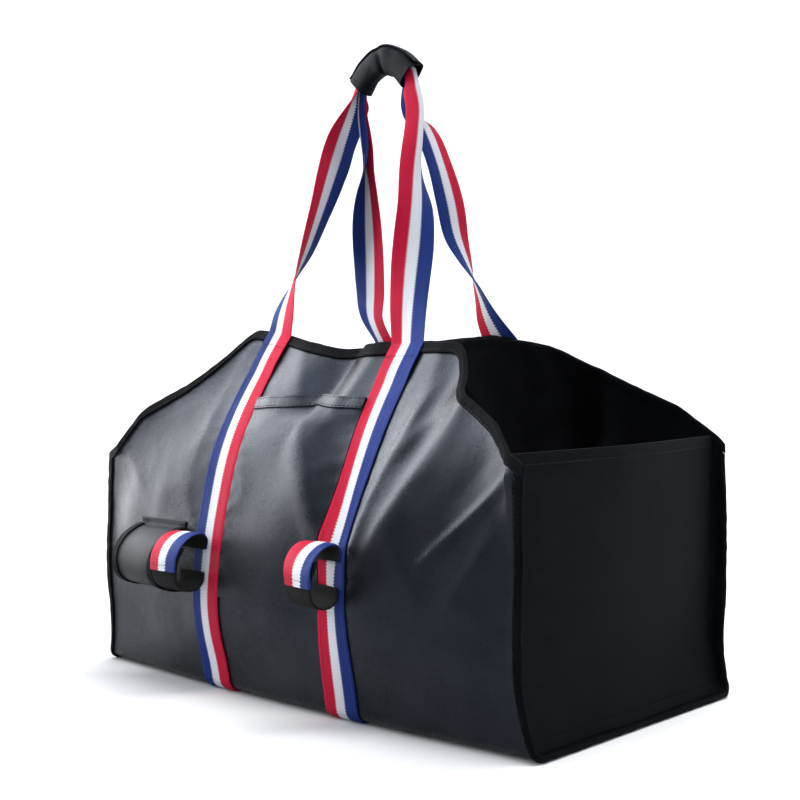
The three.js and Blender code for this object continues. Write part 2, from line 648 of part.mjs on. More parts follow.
// Rows from the middle of the bottom to a top edge
const MIDDLE_ROW = LAST_ROW / 2;
const frontRows = Array.from({ length: MIDDLE_ROW + 1 }, (_, k) => MIDDLE_ROW - k);
const backRows = Array.from({ length: MIDDLE_ROW + 1 }, (_, k) => MIDDLE_ROW + k);

// A strip that stands out from the front face: an upright outline swept along X, with an even thickness
function outlineStrip(name, outline, xs, thickness, finish, lift = 0) {
  const last = outline.length - 1;
  const normals = outline.map((_, k) => {
    const a = outline[Math.max(k - 1, 0)];
    const b = outline[Math.min(k + 1, last)];
    const length = Math.hypot(b.out - a.out, b.z - a.z);
    return { out: -(b.z - a.z) / length, z: (b.out - a.out) / length };
  });
  const layer = (side) => outline.map((row, k) => xs(k / last).map((x) => {
    const z = row.z + lift + side * normals[k].z * thickness / 2;
    const stand = row.out + side * normals[k].out * thickness / 2;
    const face = facePoint(FRONT, x, row.z + lift);
    return new THREE.Vector3(face.x, face.y - stand, z);
  }));
  sheetSolid(name, layer(1), layer(-1), finish);
}

function toolPouch() {
  const steps = [0, 0.25, 0.5, 0.75, 1];
  const between = (a, b) => () => steps.map((share) => THREE.MathUtils.lerp(a, b, share));
  outlineStrip('tool_pouch', POUCH_OUTLINE, between(POUCH_LEFT, POUCH_RIGHT), POUCH_CLOTH, canvasFinish());
  const reach = POUCH_CLOTH / 2 + LAYER_GAP + TAPE / 2;
  const raised = POUCH_OUTLINE.map((row, k) => {
    const a = POUCH_OUTLINE[Math.max(k - 1, 0)];
    const b = POUCH_OUTLINE[Math.min(k + 1, POUCH_OUTLINE.length - 1)];
    const length = Math.hypot(b.out - a.out, b.z - a.z);
    return { out: row.out - reach * (b.z - a.z) / length, z: row.z + reach * (b.out - a.out) / length };
  });
  const ends = [
    { name: 'pouch_edge_left', from: POUCH_LEFT, to: POUCH_LEFT + POUCH_TAPE_WIDTH },
    { name: 'pouch_edge_right', from: POUCH_RIGHT - POUCH_TAPE_WIDTH, to: POUCH_RIGHT },
  ];
  for (const end of ends) {
    outlineStrip(end.name, raised, () => [end.from, end.to], TAPE, tapeFinish());
  }
}

function toolLoops() {
  for (const loop of LOOPS) {
    const centre = (share) => THREE.MathUtils.lerp(loop.rootX, loop.endX, share);
    const tab = (share) => LOOP_WIDTHS.map((width) => centre(share) + width * WEBBING_WIDTH);
    outlineStrip(`tool_loop_${loop.side}`, TAB_OUTLINE, tab, WEBBING, webbingFinish(), loop.lift);
    outlineStrip(`hook_strap_${loop.side}`, HOOK_OUTLINE, tab, WEBBING, hookFinish(), loop.lift);
  }
}

bodyPanel();
endPanel('end_panel_left', columnOf(-SEAM_FOOT));
endPanel('end_panel_right', columnOf(SEAM_FOOT));
seamBinding('seam_binding_left', columnOf(-FIN_COLUMN), columnOf(-SEAM_FOOT));
seamBinding('seam_binding_right', columnOf(FIN_COLUMN), columnOf(SEAM_FOOT));
rimBinding('rim_binding_front', 0, 1);
rimBinding('rim_binding_back', LAST_ROW, LAST_ROW - 1);
webbingLoop('front_webbing', {
  outerEdgeFirst: true,
  rows: frontRows,
  leftRun: { rows: HANDLE_RUNS.frontLeft, startTurn: -4, endTurn: -90 },
  rightRun: { rows: HANDLE_RUNS.frontRight, startTurn: 0, endTurn: 90 },
  leftHeading: 0,
  inGrip: FRONT_IN_GRIP,
});
webbingLoop('back_webbing', {
  outerEdgeFirst: false,
  rows: backRows,
  leftRun: { rows: HANDLE_RUNS.backLeft, startTurn: 0, endTurn: 90 },
  rightRun: { rows: HANDLE_RUNS.backRight, startTurn: -6, endTurn: -90 },
  leftHeading: 180,
  inGrip: BACK_IN_GRIP,
});
grip();
frontPocket();
toolPouch();
toolLoops();

export default bag;
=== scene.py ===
# %% [markdown]
# # A canvas firewood bag
# One long panel of coated canvas makes the front, the bottom and the back of this bag. Two end panels close
# its sides, striped webbing carries it, and a padded wrap gathers the handles into a grip. The lesson loads
# the sized solids as a frame, then dresses each of them with cloth that has its real folds, weave and
# stitches.

import math

import bpy
import numpy as np
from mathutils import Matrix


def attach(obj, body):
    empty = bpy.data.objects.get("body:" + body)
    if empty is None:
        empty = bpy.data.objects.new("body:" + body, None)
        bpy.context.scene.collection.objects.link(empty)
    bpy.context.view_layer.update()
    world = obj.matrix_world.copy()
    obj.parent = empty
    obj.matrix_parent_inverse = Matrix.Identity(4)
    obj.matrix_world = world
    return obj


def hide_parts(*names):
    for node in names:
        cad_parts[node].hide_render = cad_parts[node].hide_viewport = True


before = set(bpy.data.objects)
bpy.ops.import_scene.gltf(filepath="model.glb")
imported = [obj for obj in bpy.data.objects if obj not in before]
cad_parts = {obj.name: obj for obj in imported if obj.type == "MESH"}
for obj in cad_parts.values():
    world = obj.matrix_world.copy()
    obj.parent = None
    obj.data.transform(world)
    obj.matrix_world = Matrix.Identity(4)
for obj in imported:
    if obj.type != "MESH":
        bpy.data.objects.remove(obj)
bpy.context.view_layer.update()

# %% [markdown]
# ## The camera
# A product photo is matched first by its camera, because every later comparison depends on it. This one
# stands level, turned to show the front and the right end, at about the height of the bag's top edge.

# %% Place the camera
PHOTO_AZIMUTH = math.radians(43.17)
CAMERA_PLACE = (0.8610, -0.8952, 0.2838)
LENS = 55.02
SENSOR = 36.0

camera = bpy.data.objects.new("camera", bpy.data.cameras.new("camera"))
camera.data.lens = LENS
camera.data.sensor_width = SENSOR
camera.location = CAMERA_PLACE
camera.rotation_euler = (math.radians(90), 0, PHOTO_AZIMUTH)
bpy.context.scene.collection.objects.link(camera)
bpy.context.scene.camera = camera
print("camera:", CAMERA_PLACE, "lens", LENS)

# %% [markdown]
# ## Floor, backdrop and light
# The studio is a pale floor that bends up into a curved wall far behind the bag, so no horizon shows. One
# large soft box leans over the bag from the left: coated canvas is nearly black, so it is the gloss of this
# light on the folds that draws the cloth. It stands so close that its mirror image runs out towards the right
# end, as in the photo. The floor is spared this light, or the foot of the bag would mirror a glaring patch.
# Two more boxes light the floor and the wall, and an even sky fills the rest.

# %% Build the floor and the wall
FLOOR_REACH = 2.6
WALL_BEND = 0.9
WALL_HEIGHT = 3.2
WALL_TURN = math.radians(100)
WALL_STEPS = 48
BEND_STEPS = 10
PAINT = (0.86, 0.86, 0.87, 1)
PAINT_ROUGHNESS = 0.9


def link(name, data):
    piece = bpy.data.objects.new(name, data)
    bpy.context.scene.collection.objects.link(piece)
    return piece


def studio():
    """A floor disc whose far side bends up into a wall."""
    outline = [(0.0, 0.0), (FLOOR_REACH / 3, 0.0), (FLOOR_REACH, 0.0)]
    for k in range(1, BEND_STEPS + 1):
        angle = 0.5 * math.pi * k / BEND_STEPS
        outline.append((FLOOR_REACH + WALL_BEND * math.sin(angle), WALL_BEND * (1 - math.cos(angle))))
    outline.append((FLOOR_REACH + WALL_BEND, WALL_HEIGHT))
    points = []
    for k in range(WALL_STEPS):
        turn = 2 * math.pi * k / WALL_STEPS
        facing = (turn - PHOTO_AZIMUTH - math.pi / 2 + math.pi) % (2 * math.pi) - math.pi
        raised = 1.0 if abs(facing) < WALL_TURN else 0.0
        points += [(r * math.cos(turn), r * math.sin(turn), z * raised) for r, z in outline]
    size = len(outline)
    faces = []
    for k in range(WALL_STEPS):
        here, there = k * size, (k + 1) % WALL_STEPS * size
        for i in range(size - 1):
            faces.append((here + i, here + i + 1, there + i + 1, there + i))
    mesh = bpy.data.meshes.new("studio_floor")
    mesh.from_pydata(points, [], faces)
    mesh.polygons.foreach_set("use_smooth", [True] * len(faces))
    floor = link("studio_floor", mesh)
    paint = bpy.data.materials.new("pale_paint")
    paint.use_nodes = True
    shader = paint.node_tree.nodes["Principled BSDF"]
    shader.inputs["Base Color"].default_value = PAINT
    shader.inputs["Roughness"].default_value = PAINT_ROUGHNESS
    mesh.materials.append(paint)
    return floor


floor = studio()
print("studio:", len(floor.data.polygons), "faces of floor and wall")

# %% Set the soft boxes and the sky
SKY_COLOUR = (0.92, 0.96, 1.0, 1)
SKY_STRENGTH = 0.95
# Each box has its place, the point it faces, its two sides in metres and its power in watts.
SOFT_BOXES = {
    "leaning_box": ((-0.785, -0.27, 0.579), (-0.015, -0.27, -0.057), (0.66, 1.36), 26),
    "overhead_box": ((0.1, 1.2, 2.6), (0, 0.6, 0), (2.6, 2.0), 36),
    "wall_box": ((0.3, -0.2, 2.9), (-1.9, 2.2, 0.9), (2.0, 1.0), 80),
}


def soft_box(name, place, target, size, power):
    lamp = bpy.data.lights.new(name, "AREA")
    lamp.shape = "RECTANGLE"
    lamp.size, lamp.size_y = size
    lamp.energy = power
    box = link(name, lamp)
    box.location = place
    box.visible_camera = False
    aim = np.array(target) - np.array(place)
    tip = math.acos(-aim[2] / np.linalg.norm(aim))
    box.rotation_euler = (tip, 0, math.atan2(aim[1], aim[0]) - math.pi / 2)
    return box


boxes = {name: soft_box(name, *row) for name, row in SOFT_BOXES.items()}
spared = bpy.data.collections.new("spared_by_leaning_box")
spared.objects.link(floor)
spared.collection_objects[0].light_linking.link_state = "EXCLUDE"
boxes["leaning_box"].light_linking.receiver_collection = spared
sky = bpy.data.worlds.new("sky")
sky.use_nodes = True
sky.node_tree.nodes["Background"].inputs["Color"].default_value = SKY_COLOUR
sky.node_tree.nodes["Background"].inputs["Strength"].default_value = SKY_STRENGTH
bpy.context.scene.world = sky
bpy.context.scene.view_settings.view_transform = "Standard"
print("light:", len(boxes), "soft boxes and a sky")

# %% [markdown]
# ## Shader maths
# Cloth finishes are sums of waves and noises, which are easier to read as sums than as wired boxes. `Value`
# wraps a socket so that `+`, `-`, `*` and `>` add the Math nodes, and `Finish` holds a material while it is
# made. The number before a wave or a noise in a sum is the share it has in it.

# %% Use sockets as numbers
def feed(tree, socket, value):
    """Link an input to a socket, or give it a value of its own."""
    source = value.socket if isinstance(value, Value) else value
    if isinstance(source, bpy.types.NodeSocket):
        tree.links.new(source, socket)
    else:
        socket.default_value = source


def add_node(tree, kind, settings, inputs):
    made = tree.nodes.new(kind)
    for name, value in settings.items():
        setattr(made, name, value)
    for name, value in inputs.items():
        feed(tree, made.inputs[name], value)
    return made


class Value:
    """A number that changes over a surface: one socket of a shader tree."""

    def __init__(self, finish, socket):
        self.finish = finish
        self.socket = socket

    def maths(self, operation, *values):
        return self.finish.node("ShaderNodeMath", {"operation": operation}, dict(enumerate(values)))

    def __add__(self, other):
        return self.maths("ADD", self, other)

    def __sub__(self, other):
        return self.maths("SUBTRACT", self, other)

    def __mul__(self, other):
        return self.maths("MULTIPLY", self, other)

    def __gt__(self, other):
        return self.maths("GREATER_THAN", self, other)

    __radd__, __rmul__ = __add__, __mul__

    def wave(self, pitch):
        """A sine from -1 to 1 that repeats at every pitch."""
        return self.maths("SINE", self * (2 * math.pi / pitch))

    def zigzag(self, pitch):
        """A triangle wave from 0 to 1 that repeats at every pitch."""
        return self.maths("PINGPONG", self * (2 / pitch), 1.0)

    def step(self, low, high):
        """Nought below low, one above high and smooth between them."""
        inputs = {"Value": self, "From Min": low, "From Max": high}
        return self.finish.node("ShaderNodeMapRange", {"interpolation_type": "SMOOTHSTEP"}, inputs)


print("values can", [name for name in vars(Value) if not name.startswith("_")])

# %% Build a material in steps
# Places of the colour sockets on a Mix node, which has one set for each kind of data.
MIX_SHARE, MIX_FIRST, MIX_SECOND, MIX_RESULT = 0, 6, 7, 2


class Finish:
    """A material under construction, with the sockets of one Principled shader."""

    def __init__(self, name, **constants):
        self.material = bpy.data.materials.new(name)
        self.material.use_nodes = True
        self.tree = self.material.node_tree
        self.shader = self.tree.nodes["Principled BSDF"]
        for socket, value in constants.items():
            self.shader.inputs[socket.replace("_", " ")].default_value = value

    def node(self, kind, settings, inputs, output=0):
        return Value(self, add_node(self.tree, kind, settings, inputs).outputs[output])

    def place(self, kind):
        return self.node("ShaderNodeTexCoord", {}, {}, kind)

    def along(self, place, axis):
        return self.node("ShaderNodeSeparateXYZ", {}, {0: place}, axis)

    def noise(self, scale, detail):
        """Random hills, scale of them to a metre."""
        inputs = {"Vector": self.place("Object"), "Scale": scale, "Detail": detail}
        return self.node("ShaderNodeTexNoise", {}, inputs)

    def plain_weave(self, thread):
        """Threads over and under each other, at a pitch of thread metres."""
        cloth = self.place("UV")
        return self.along(cloth, 0).wave(thread) * self.along(cloth, 1).wave(thread)

    def blend(self, share, first, second):
        """A colour between two others."""
        inputs = {MIX_SHARE: share, MIX_FIRST: first, MIX_SECOND: second}
        return self.node("ShaderNodeMix", {"data_type": "RGBA"}, inputs, MIX_RESULT)

    def colour(self, value):
        feed(self.tree, self.shader.inputs["Base Color"], value)

    def roughness(self, value):
        feed(self.tree, self.shader.inputs["Roughness"], value)

    def relief(self, height, depth):
        """Bump of a height, with depth metres to each unit of it."""
        bump = self.node("ShaderNodeBump", {}, {"Height": height, "Distance": depth})
        feed(self.tree, self.shader.inputs["Normal"], bump)


def grey(level, tint=(1.0, 1.0, 1.0)):
    return tuple(level * part for part in tint) + (1.0,)


print("finishes: helpers ready")

# %% [markdown]
# ## Finishes of the bag
# The outside is canvas with a satin coating: almost black, with a fine grain that scatters the gloss into a
# grey sheen. The ends and tapes are the same black without the gloss. The webbing is woven in stripes of
# blue, white and red, and each border is a small saw-tooth, because a weave steps by whole threads.

# %% Coated canvas and plain black cloths
COOL = (0.93, 0.97, 1.06)
COATING = (0.5, 0.66, 1.0, 1)
CANVAS_THREAD = 0.0011
CANVAS_GLOSS = 0.18
CANVAS_RELIEF = 0.00011
PATCHES = (0.3, 0.7)


def coated_canvas():
    finish = Finish("coated_canvas", Specular_IOR_Level=CANVAS_GLOSS, Specular_Tint=COATING)
    weave = finish.plain_weave(CANVAS_THREAD)
    grain = finish.noise(520, 2.0)
    mottle = finish.noise(26, 5.0)
    finish.colour(finish.blend(mottle.step(*PATCHES), grey(0.004, COOL), grey(0.008, COOL)))
    finish.roughness(0.19 + 0.06 * mottle + 0.14 * grain)
    finish.relief(0.3 * weave + 0.8 * grain + 1.2 * finish.noise(150, 3.0), CANVAS_RELIEF)
    return finish.material


def plain_cloth(name, level, gloss, rough, thread, depth):
    finish = Finish(name, Specular_IOR_Level=gloss, Specular_Tint=COATING)
    weave = finish.plain_weave(thread)
    mottle = finish.noise(40, 4.0)
    finish.colour(finish.blend(mottle.step(*PATCHES), grey(level * 0.75, COOL), grey(level * 1.3, COOL)))
    finish.roughness(rough + 0.12 * mottle)
    finish.relief(0.5 * weave + finish.noise(420, 2.0), depth)
    return finish.material


def dyed_thread(name, colour, gloss):
    finish = Finish(name, Base_Color=colour, Specular_IOR_Level=gloss)
    finish.roughness(0.4 + 0.15 * finish.noise(800, 2.0))
    return finish.material


CANVAS = coated_canvas()
# Each cloth has its grey level, gloss and roughness, its thread's pitch and its relief's depth in metres.
END_CLOTH = plain_cloth("end_canvas", 0.003, 0.05, 0.6, 0.0012, 0.0002)
TAPE_CLOTH = plain_cloth("binding_tape", 0.003, 0.03, 0.6, 0.0016, 0.0003)
SLEEVE_CANVAS = plain_cloth("sleeve_canvas", 0.005, 0.10, 0.4, 0.0012, 0.0002)
WRAP_CLOTH = plain_cloth("grip_wrap", 0.003, 0.06, 0.5, 0.0014, 0.0003)
# Each thread has its colour and its gloss.
BLACK_THREAD = dyed_thread("black_thread", grey(0.005, COOL), 0.12)
BLUE_THREAD = dyed_thread("blue_thread", (0.02, 0.035, 0.2, 1), 0.4)
RED_THREAD = dyed_thread("red_thread", (0.45, 0.02, 0.04, 1), 0.4)
print("cloths:", [cloth.name for cloth in (CANVAS, END_CLOTH, TAPE_CLOTH, SLEEVE_CANVAS, WRAP_CLOTH)])

# %% Striped webbing and hook-and-loop
BLUE = (0.014, 0.033, 0.170, 1)
WHITE = (0.68, 0.69, 0.74, 1)
WORN_WHITE = grey(0.70, COOL)
RED = (0.48, 0.011, 0.042, 1)
TOOTH_PITCH = 0.003
TOOTH_DEPTH = 0.056
BLUE_EDGE = 0.36
RED_EDGE = 0.64
RIB_PITCH = 0.0016
RIB_DEPTH = 0.00028
TWILL_RISE = 0.012
TWILL_WIDTH = 1 / 6
PILE_DEPTH = 0.0011


def striped_webbing():
    finish = Finish("striped_webbing", Specular_IOR_Level=0.03)
    cloth = finish.place("UV")
    across, along = finish.along(cloth, 0), finish.along(cloth, 1)
    tooth = across + TOOTH_DEPTH * (along.zigzag(TOOTH_PITCH) - 0.5)
    worn = finish.noise(60, 4.0).step(0.35, 0.75)
    warm = finish.blend(tooth > RED_EDGE, finish.blend(worn, WHITE, WORN_WHITE), RED)
    finish.colour(finish.blend(tooth > BLUE_EDGE, BLUE, warm))
    finish.roughness(0.42 + 0.12 * worn)
    twill = (along + TWILL_RISE * across.zigzag(TWILL_WIDTH)).wave(RIB_PITCH)
    finish.relief(0.5 * twill + 0.4 * finish.noise(900, 2.0), RIB_DEPTH)
    return finish.material


def pile_cloth():
    finish = Finish("hook_and_loop", Specular_IOR_Level=0.1)
    tuft = finish.noise(900, 3.0)
    finish.colour(finish.blend(tuft.step(0.35, 0.7), grey(0.003), grey(0.010, COOL)))
    finish.roughness(0.85 + 0.1 * tuft)
    finish.relief(tuft, PILE_DEPTH)
    return finish.material


STRIPES = striped_webbing()
PILE = pile_cloth()
print("webbing:", STRIPES.name, PILE.name)

# %% [markdown]
# ## The shape of the long panel
# The canvas is drawn by two short tables of upright sections, one for the front and one for the back, from
# the left end to the right end. Sizes are in millimetres up to the moment when a mesh is made. `foot`,
# `waist` and `rim` say where a section stands along the bag at the floor, at mid height and at its top edge.
# `top` is the height of that edge, and `base` to `brim` say how far the cloth stands from the centre plane on
# its way up. A fold is a line from one point of a face to another, with its width on either side and its
# height.

# %% Tables of the panel's sections
SECTION = ("foot", "waist", "rim", "top", "base", "belly", "flank", "chest", "brim")
FRONT_SECTIONS = (
    (-284, -269, -268, 232, 155, 163, 162, 162, 161),
    (-236, -232, -238, 271, 158, 167, 169, 160, 149),
    (-184, -184, -182, 301, 162, 171, 171, 155, 125),
    (-160, -160, -154, 325, 164, 173, 171, 150, 106),
    (-140, -140, -132, 356, 165, 175, 171, 146, 78),
    (-87, -88, -100, 352, 166, 179, 172, 143, 73),
    (0, 0, -10, 332, 167, 180, 171, 138, 71),
    (87, 89, 76, 336, 166, 179, 168, 134, 71),
    (140, 140, 150, 334, 165, 178, 168, 137, 72),
    (160, 160, 170, 308, 164, 177, 168, 141, 95),
    (184, 184, 188, 292, 162, 175, 168, 146, 112),
    (236, 232, 240, 264, 158, 170, 167, 156, 140),
    (284, 269, 268, 240, 155, 163, 162, 162, 161),
)
BACK_SECTIONS = (
    (-284, -269, -268, 240, 155, 162, 164, 165, 165),
    (-236, -232, -236, 276, 157, 169, 169, 163, 150),
    (-184, -184, -180, 313, 159, 173, 169, 154, 118),
    (-140, -140, -136, 346, 160, 175, 168, 145, 90),
    (-87, -88, -100, 347, 161, 176, 168, 140, 75),
    (0, 0, -14, 346, 161, 177, 168, 138, 73),
    (87, 88, 66, 349, 161, 176, 168, 140, 75),
    (140, 140, 132, 336, 160, 175, 168, 145, 88),
    (184, 184, 178, 308, 159, 173, 169, 154, 116),
    (236, 232, 238, 276, 157, 169, 169, 163, 150),
    (284, 269, 270, 248, 155, 162, 164, 165, 165),
)
FOLD = ("from_x", "from_z", "to_x", "to_z", "left", "right", "height")
FRONT_FOLDS = (
    (128, 338, 138, 272, 16, 20, 3),
    (138, 272, 112, 160, 14, 15, 5),
    (182, 292, 150, 255, 14, 18, 4),
    (196, 285, 150, 190, 24, 46, 11),
    (268, 262, 214, 205, 16, 16, -1),
    (272, 228, 190, 150, 5, 6, 2.6),
    (252, 168, 222, 126, 10, 8, 2.2),
    (-30, 300, 62, 172, 46, 19, 12),
    (40, 335, 30, 284, 20, 20, 4),
    (10, 340, 2, 284, 24, 14, -8),
    (-262, 240, -225, 205, 13, 13, 1.5),
    (-140, 320, -165, 215, 34, 34, 1.5),
    (62, 335, 66, 125, 36, 30, -4.5),
    (112, 345, 112, 125, 28, 56, 5),
)
BACK_FOLDS = (
    (-170, 300, -115, 170, 18, 18, 7),
    (165, 300, 120, 170, 18, 18, 7),
    (260, 225, 205, 150, 14, 14, 5),
    (-255, 225, -210, 150, 14, 14, 5),
    (-10, 330, 20, 200, 22, 22, 5),
)


def columns_of(names, rows):
    return dict(zip(names, np.array(rows, float).T))


def panel_face(sections, folds, **facts):
    return {"sections": columns_of(SECTION, sections), "folds": folds, **facts}


# fin_rim is how far a face's fins stand out at its top edge, sign is its side of the centre plane, rim_row is
# the row of its top edge, and down is the way that rows run from there.
FRONT = panel_face(FRONT_SECTIONS, FRONT_FOLDS, fin_rim=15.0, sign=-1.0, seed=11, rim_row=0.0, down=1.0)
BACK = panel_face(BACK_SECTIONS, BACK_FOLDS, fin_rim=9.0, sign=1.0, seed=23, rim_row=3.0, down=-1.0)
print("panel:", len(FRONT_SECTIONS), "front sections,", len(BACK_SECTIONS), "back sections")

# %% Curves between the rows of a table
NOISE_SIZE = 64
TINY = 1e-9


def ease(share):
    share = np.clip(share, 0.0, 1.0)
    return share * share * (3 - 2 * share)


def mix(first, second, share):
    return first + (second - first) * share


def unit(vectors):
    return vectors / np.maximum(np.linalg.norm(vectors, axis=-1, keepdims=True), TINY)


def run_length(line):
    """Length from the start of a line of points to each of them."""
    return np.concatenate([[0.0], np.cumsum(np.linalg.norm(np.diff(line, axis=0), axis=-1))])


def smooth_through(knots, values, at):
    """A smooth curve through rows of knots and values, each slope taken from the neighbouring rows."""
    last = len(knots) - 1
    slopes = []
    for k in range(last + 1):
        low, high = max(k - 1, 0), min(k + 1, last)
        slopes.append((values[high] - values[low]) / (knots[high] - knots[low]))
    result = values[0] + 0.0 * at
    for k in range(last):
        span = knots[k + 1] - knots[k]
        s = np.clip((at - knots[k]) / span, 0.0, 1.0)
        bend = s * (1 - s) * ((1 - s) * slopes[k] - s * slopes[k + 1]) * span
        result = np.where(at >= knots[k], mix(values[k], values[k + 1], ease(s)) + bend, result)
    return result


def soft_noise(u, v, height, cell, seed):
    """Smooth random hills and hollows up to a height, about one cell wide and the same on every run."""
    lattice = np.random.default_rng(seed).uniform(-1, 1, (NOISE_SIZE, NOISE_SIZE))
    i, j = np.floor(u / cell).astype(int), np.floor(v / cell).astype(int)
    s, t = ease(u / cell - i), ease(v / cell - j)

    def pick(right, up):
        return lattice[(i + right) % NOISE_SIZE, (j + up) % NOISE_SIZE]

    return height * mix(mix(pick(0, 0), pick(1, 0), s), mix(pick(0, 1), pick(1, 1), s), t)


print("curves: ease, mix, smooth_through and soft_noise ready")

# %% [markdown]
# The canvas is one function of two numbers: `column`, where a thread stands along the bag, and `row`, how far
# it has run from the front's top edge (0) to its foot (1), under the bottom to the back's foot (2), and up to
# the back's top edge (3). All that is sewn on the canvas asks this same function for its place, so layers
# never part.

# %% Where the columns stand
BELLY_Z = 92.0
FLANK_Z = 165.0
TUCK_Z = 70.0
SEAM_FOOT = 284.0
FIN_FOOT = 6.0
FIN_WAIST = 11.0
FIN_DROP = 8.0
EDGE_ROUNDING = 7.0


def beyond_seam(column):
    """How far a column has run from the end's seam (0) to the outer edge of its fin (1)."""
    return np.clip((np.abs(column) - SEAM_FOOT) / FIN_FOOT, 0.0, 1.0)


def section(face, column, name):
    """One column of a face's table. Top edges are straight runs with rounded corners, the rest are smooth."""
    foot = np.clip(column, -SEAM_FOOT, SEAM_FOOT)
    knots, values = face["sections"]["foot"], face["sections"][name]
    if name in ("rim", "top", "brim"):
        shifts = EDGE_ROUNDING * np.array([-1.0, -0.5, 0.0, 0.5, 1.0])
        edge = sum(np.interp(foot + shift, knots, values) for shift in shifts) / len(shifts)
        return edge - (FIN_DROP * beyond_seam(column) if name == "top" else 0.0)
    return smooth_through(knots, values, foot)


def side_place(face, column, z):
    """X of a column at a height, with the seam's fin standing out past the end."""
    top, waist = section(face, column, "top"), section(face, column, "waist")
    upper = ease((z - FLANK_Z) / (top - FLANK_Z))
    foot = np.clip(column, -SEAM_FOOT, SEAM_FOOT)
    x = mix(foot, waist, np.sqrt(ease(z / TUCK_Z))) + (section(face, column, "rim") - waist) * upper
    fin = mix(mix(FIN_FOOT, FIN_WAIST, ease(z / BELLY_Z)), face["fin_rim"], upper)
    return x + np.sign(column) * fin * beyond_seam(column)


print("front's top edge:", round(section(FRONT, 0.0, "top")), "mm high in the middle")

# %% Folds and wrinkles
WEBBING_WIDTH = 40.0
STRAP_X = 87.0
FLOOR_Z = 2.1
FOOT_RADIUS = 12.0
FOOT_Z = FLOOR_Z + FOOT_RADIUS
CRISPNESS = 0.2
CRISP_SQUEEZE = 9
FOLD_FADE = 0.75
DENT, DENT_CELL = 1.7, 72.0
RIDGE, RIDGE_CELL = 0.9, 46.0
RIDGE_LEAN, RIDGE_TILT = 0.6, 0.4
PUCKER, PUCKER_DRIFT, PUCKER_CELL = 0.45, 2.0, 30.0
PUCKER_REACH, PUCKER_STEP, PUCKER_START = 9.0, 3.1, 5.0
CALM_FOOT = 40.0


def fold_height(folds, x, z):
    total = np.zeros_like(x)
    for row in folds:
        fold = dict(zip(FOLD, row))
        along_x, along_z = fold["to_x"] - fold["from_x"], fold["to_z"] - fold["from_z"]
        length = math.hypot(along_x, along_z)
        along = ((x - fold["from_x"]) * along_x + (z - fold["from_z"]) * along_z) / length
        across = ((x - fold["from_x"]) * along_z - (z - fold["from_z"]) * along_x) / length
        beyond = np.maximum(0.0, np.maximum(-along, along - length))
        fade = np.exp(-((beyond / (FOLD_FADE * (fold["left"] + fold["right"]))) ** 2))
        spread = (across / np.where(across < 0, fold["right"], fold["left"])) ** 2
        crest = mix(np.exp(-spread), np.exp(-CRISP_SQUEEZE * spread), CRISPNESS)
        total += fold["height"] * crest * fade
    return total


def wrinkles(face, column, x, z):
    """Shallow dents all over, soft ridges where the cloth was crumpled, and puckers beside the straps."""
    seed = face["seed"]
    dents = soft_noise(x, z, DENT, DENT_CELL, seed)
    slope = soft_noise(x + RIDGE_LEAN * z, z - RIDGE_TILT * x, 1.0, RIDGE_CELL, seed + 1)
    ridges = RIDGE * (0.5 - np.abs(slope))
    beside = np.abs(np.abs(column) - STRAP_X) - WEBBING_WIDTH / 2
    ripple = np.sin(z / PUCKER_STEP + soft_noise(x, z, PUCKER_DRIFT, PUCKER_CELL, seed + 2))
    pucker = PUCKER * np.exp(-np.maximum(beside, 0.0) / PUCKER_REACH) * ripple
    return ease((z - FOOT_Z) / CALM_FOOT) * (dents + ridges + ease(beside / PUCKER_START) * pucker)


print("folds:", len(FRONT_FOLDS), "in front,", len(BACK_FOLDS), "behind")

# %% Points of the canvas
CHEST_SHARE = 0.45
CORNER_SHARE = 0.06
PROBE_COLUMN = 1.5
PROBE_ROW = 0.006
MEASURE_STEPS = 400


def face_points(face, column, z):
    top = section(face, column, "top")
    knots = [FOOT_Z + 0 * z, BELLY_Z + 0 * z, FLANK_Z + 0 * z, mix(FLANK_Z, top, CHEST_SHARE), top]
    depths = [section(face, column, name) for name in ("base", "belly", "flank", "chest", "brim")]
    x = side_place(face, column, z)
    depth = smooth_through(knots, depths, z) + fold_height(face["folds"], x, z) + wrinkles(face, column, x, z)
    return np.stack([x, face["sign"] * depth, z], axis=-1)


def bottom_points(column, share):
    """The bottom, from the front's foot (0) to the back's foot (1), with a rounded edge at each."""
    front, back = (section(face, column, "base") - FOOT_RADIUS for face in (FRONT, BACK))
    from_front, from_back = share / CORNER_SHARE, (1 - share) / CORNER_SHARE
    angle = 0.5 * math.pi * np.clip(np.minimum(from_front, from_back), 0.0, 1.0)
    flat = np.clip((share - CORNER_SHARE) / (1 - 2 * CORNER_SHARE), 0.0, 1.0)
    round_out = FOOT_RADIUS * np.cos(angle) * np.where(share < 0.5, -1.0, 1.0)
    z = FLOOR_Z + FOOT_RADIUS * (1 - np.sin(angle))
    tuck = (z - FLOOR_Z) / FOOT_RADIUS * FOOT_Z
    x = np.where(share < 0.5, side_place(FRONT, column, tuck), side_place(BACK, column, tuck))
    return np.stack([x, mix(-front, back, flat) + round_out, z], axis=-1)


def canvas(column, row):
    column, row = (np.array(grid, float) for grid in np.broadcast_arrays(column, row))
    points = np.empty(column.shape + (3,))
    for face, part, share in ((FRONT, row <= 1, 1 - row), (BACK, row >= 2, row - 2)):
        here = column[part]
        z = mix(FOOT_Z, section(face, here, "top"), share[part])
        points[part] = face_points(face, here, z)
    under = (row > 1) & (row < 2)
    points[under] = bottom_points(column[under], row[under] - 1)
    return points


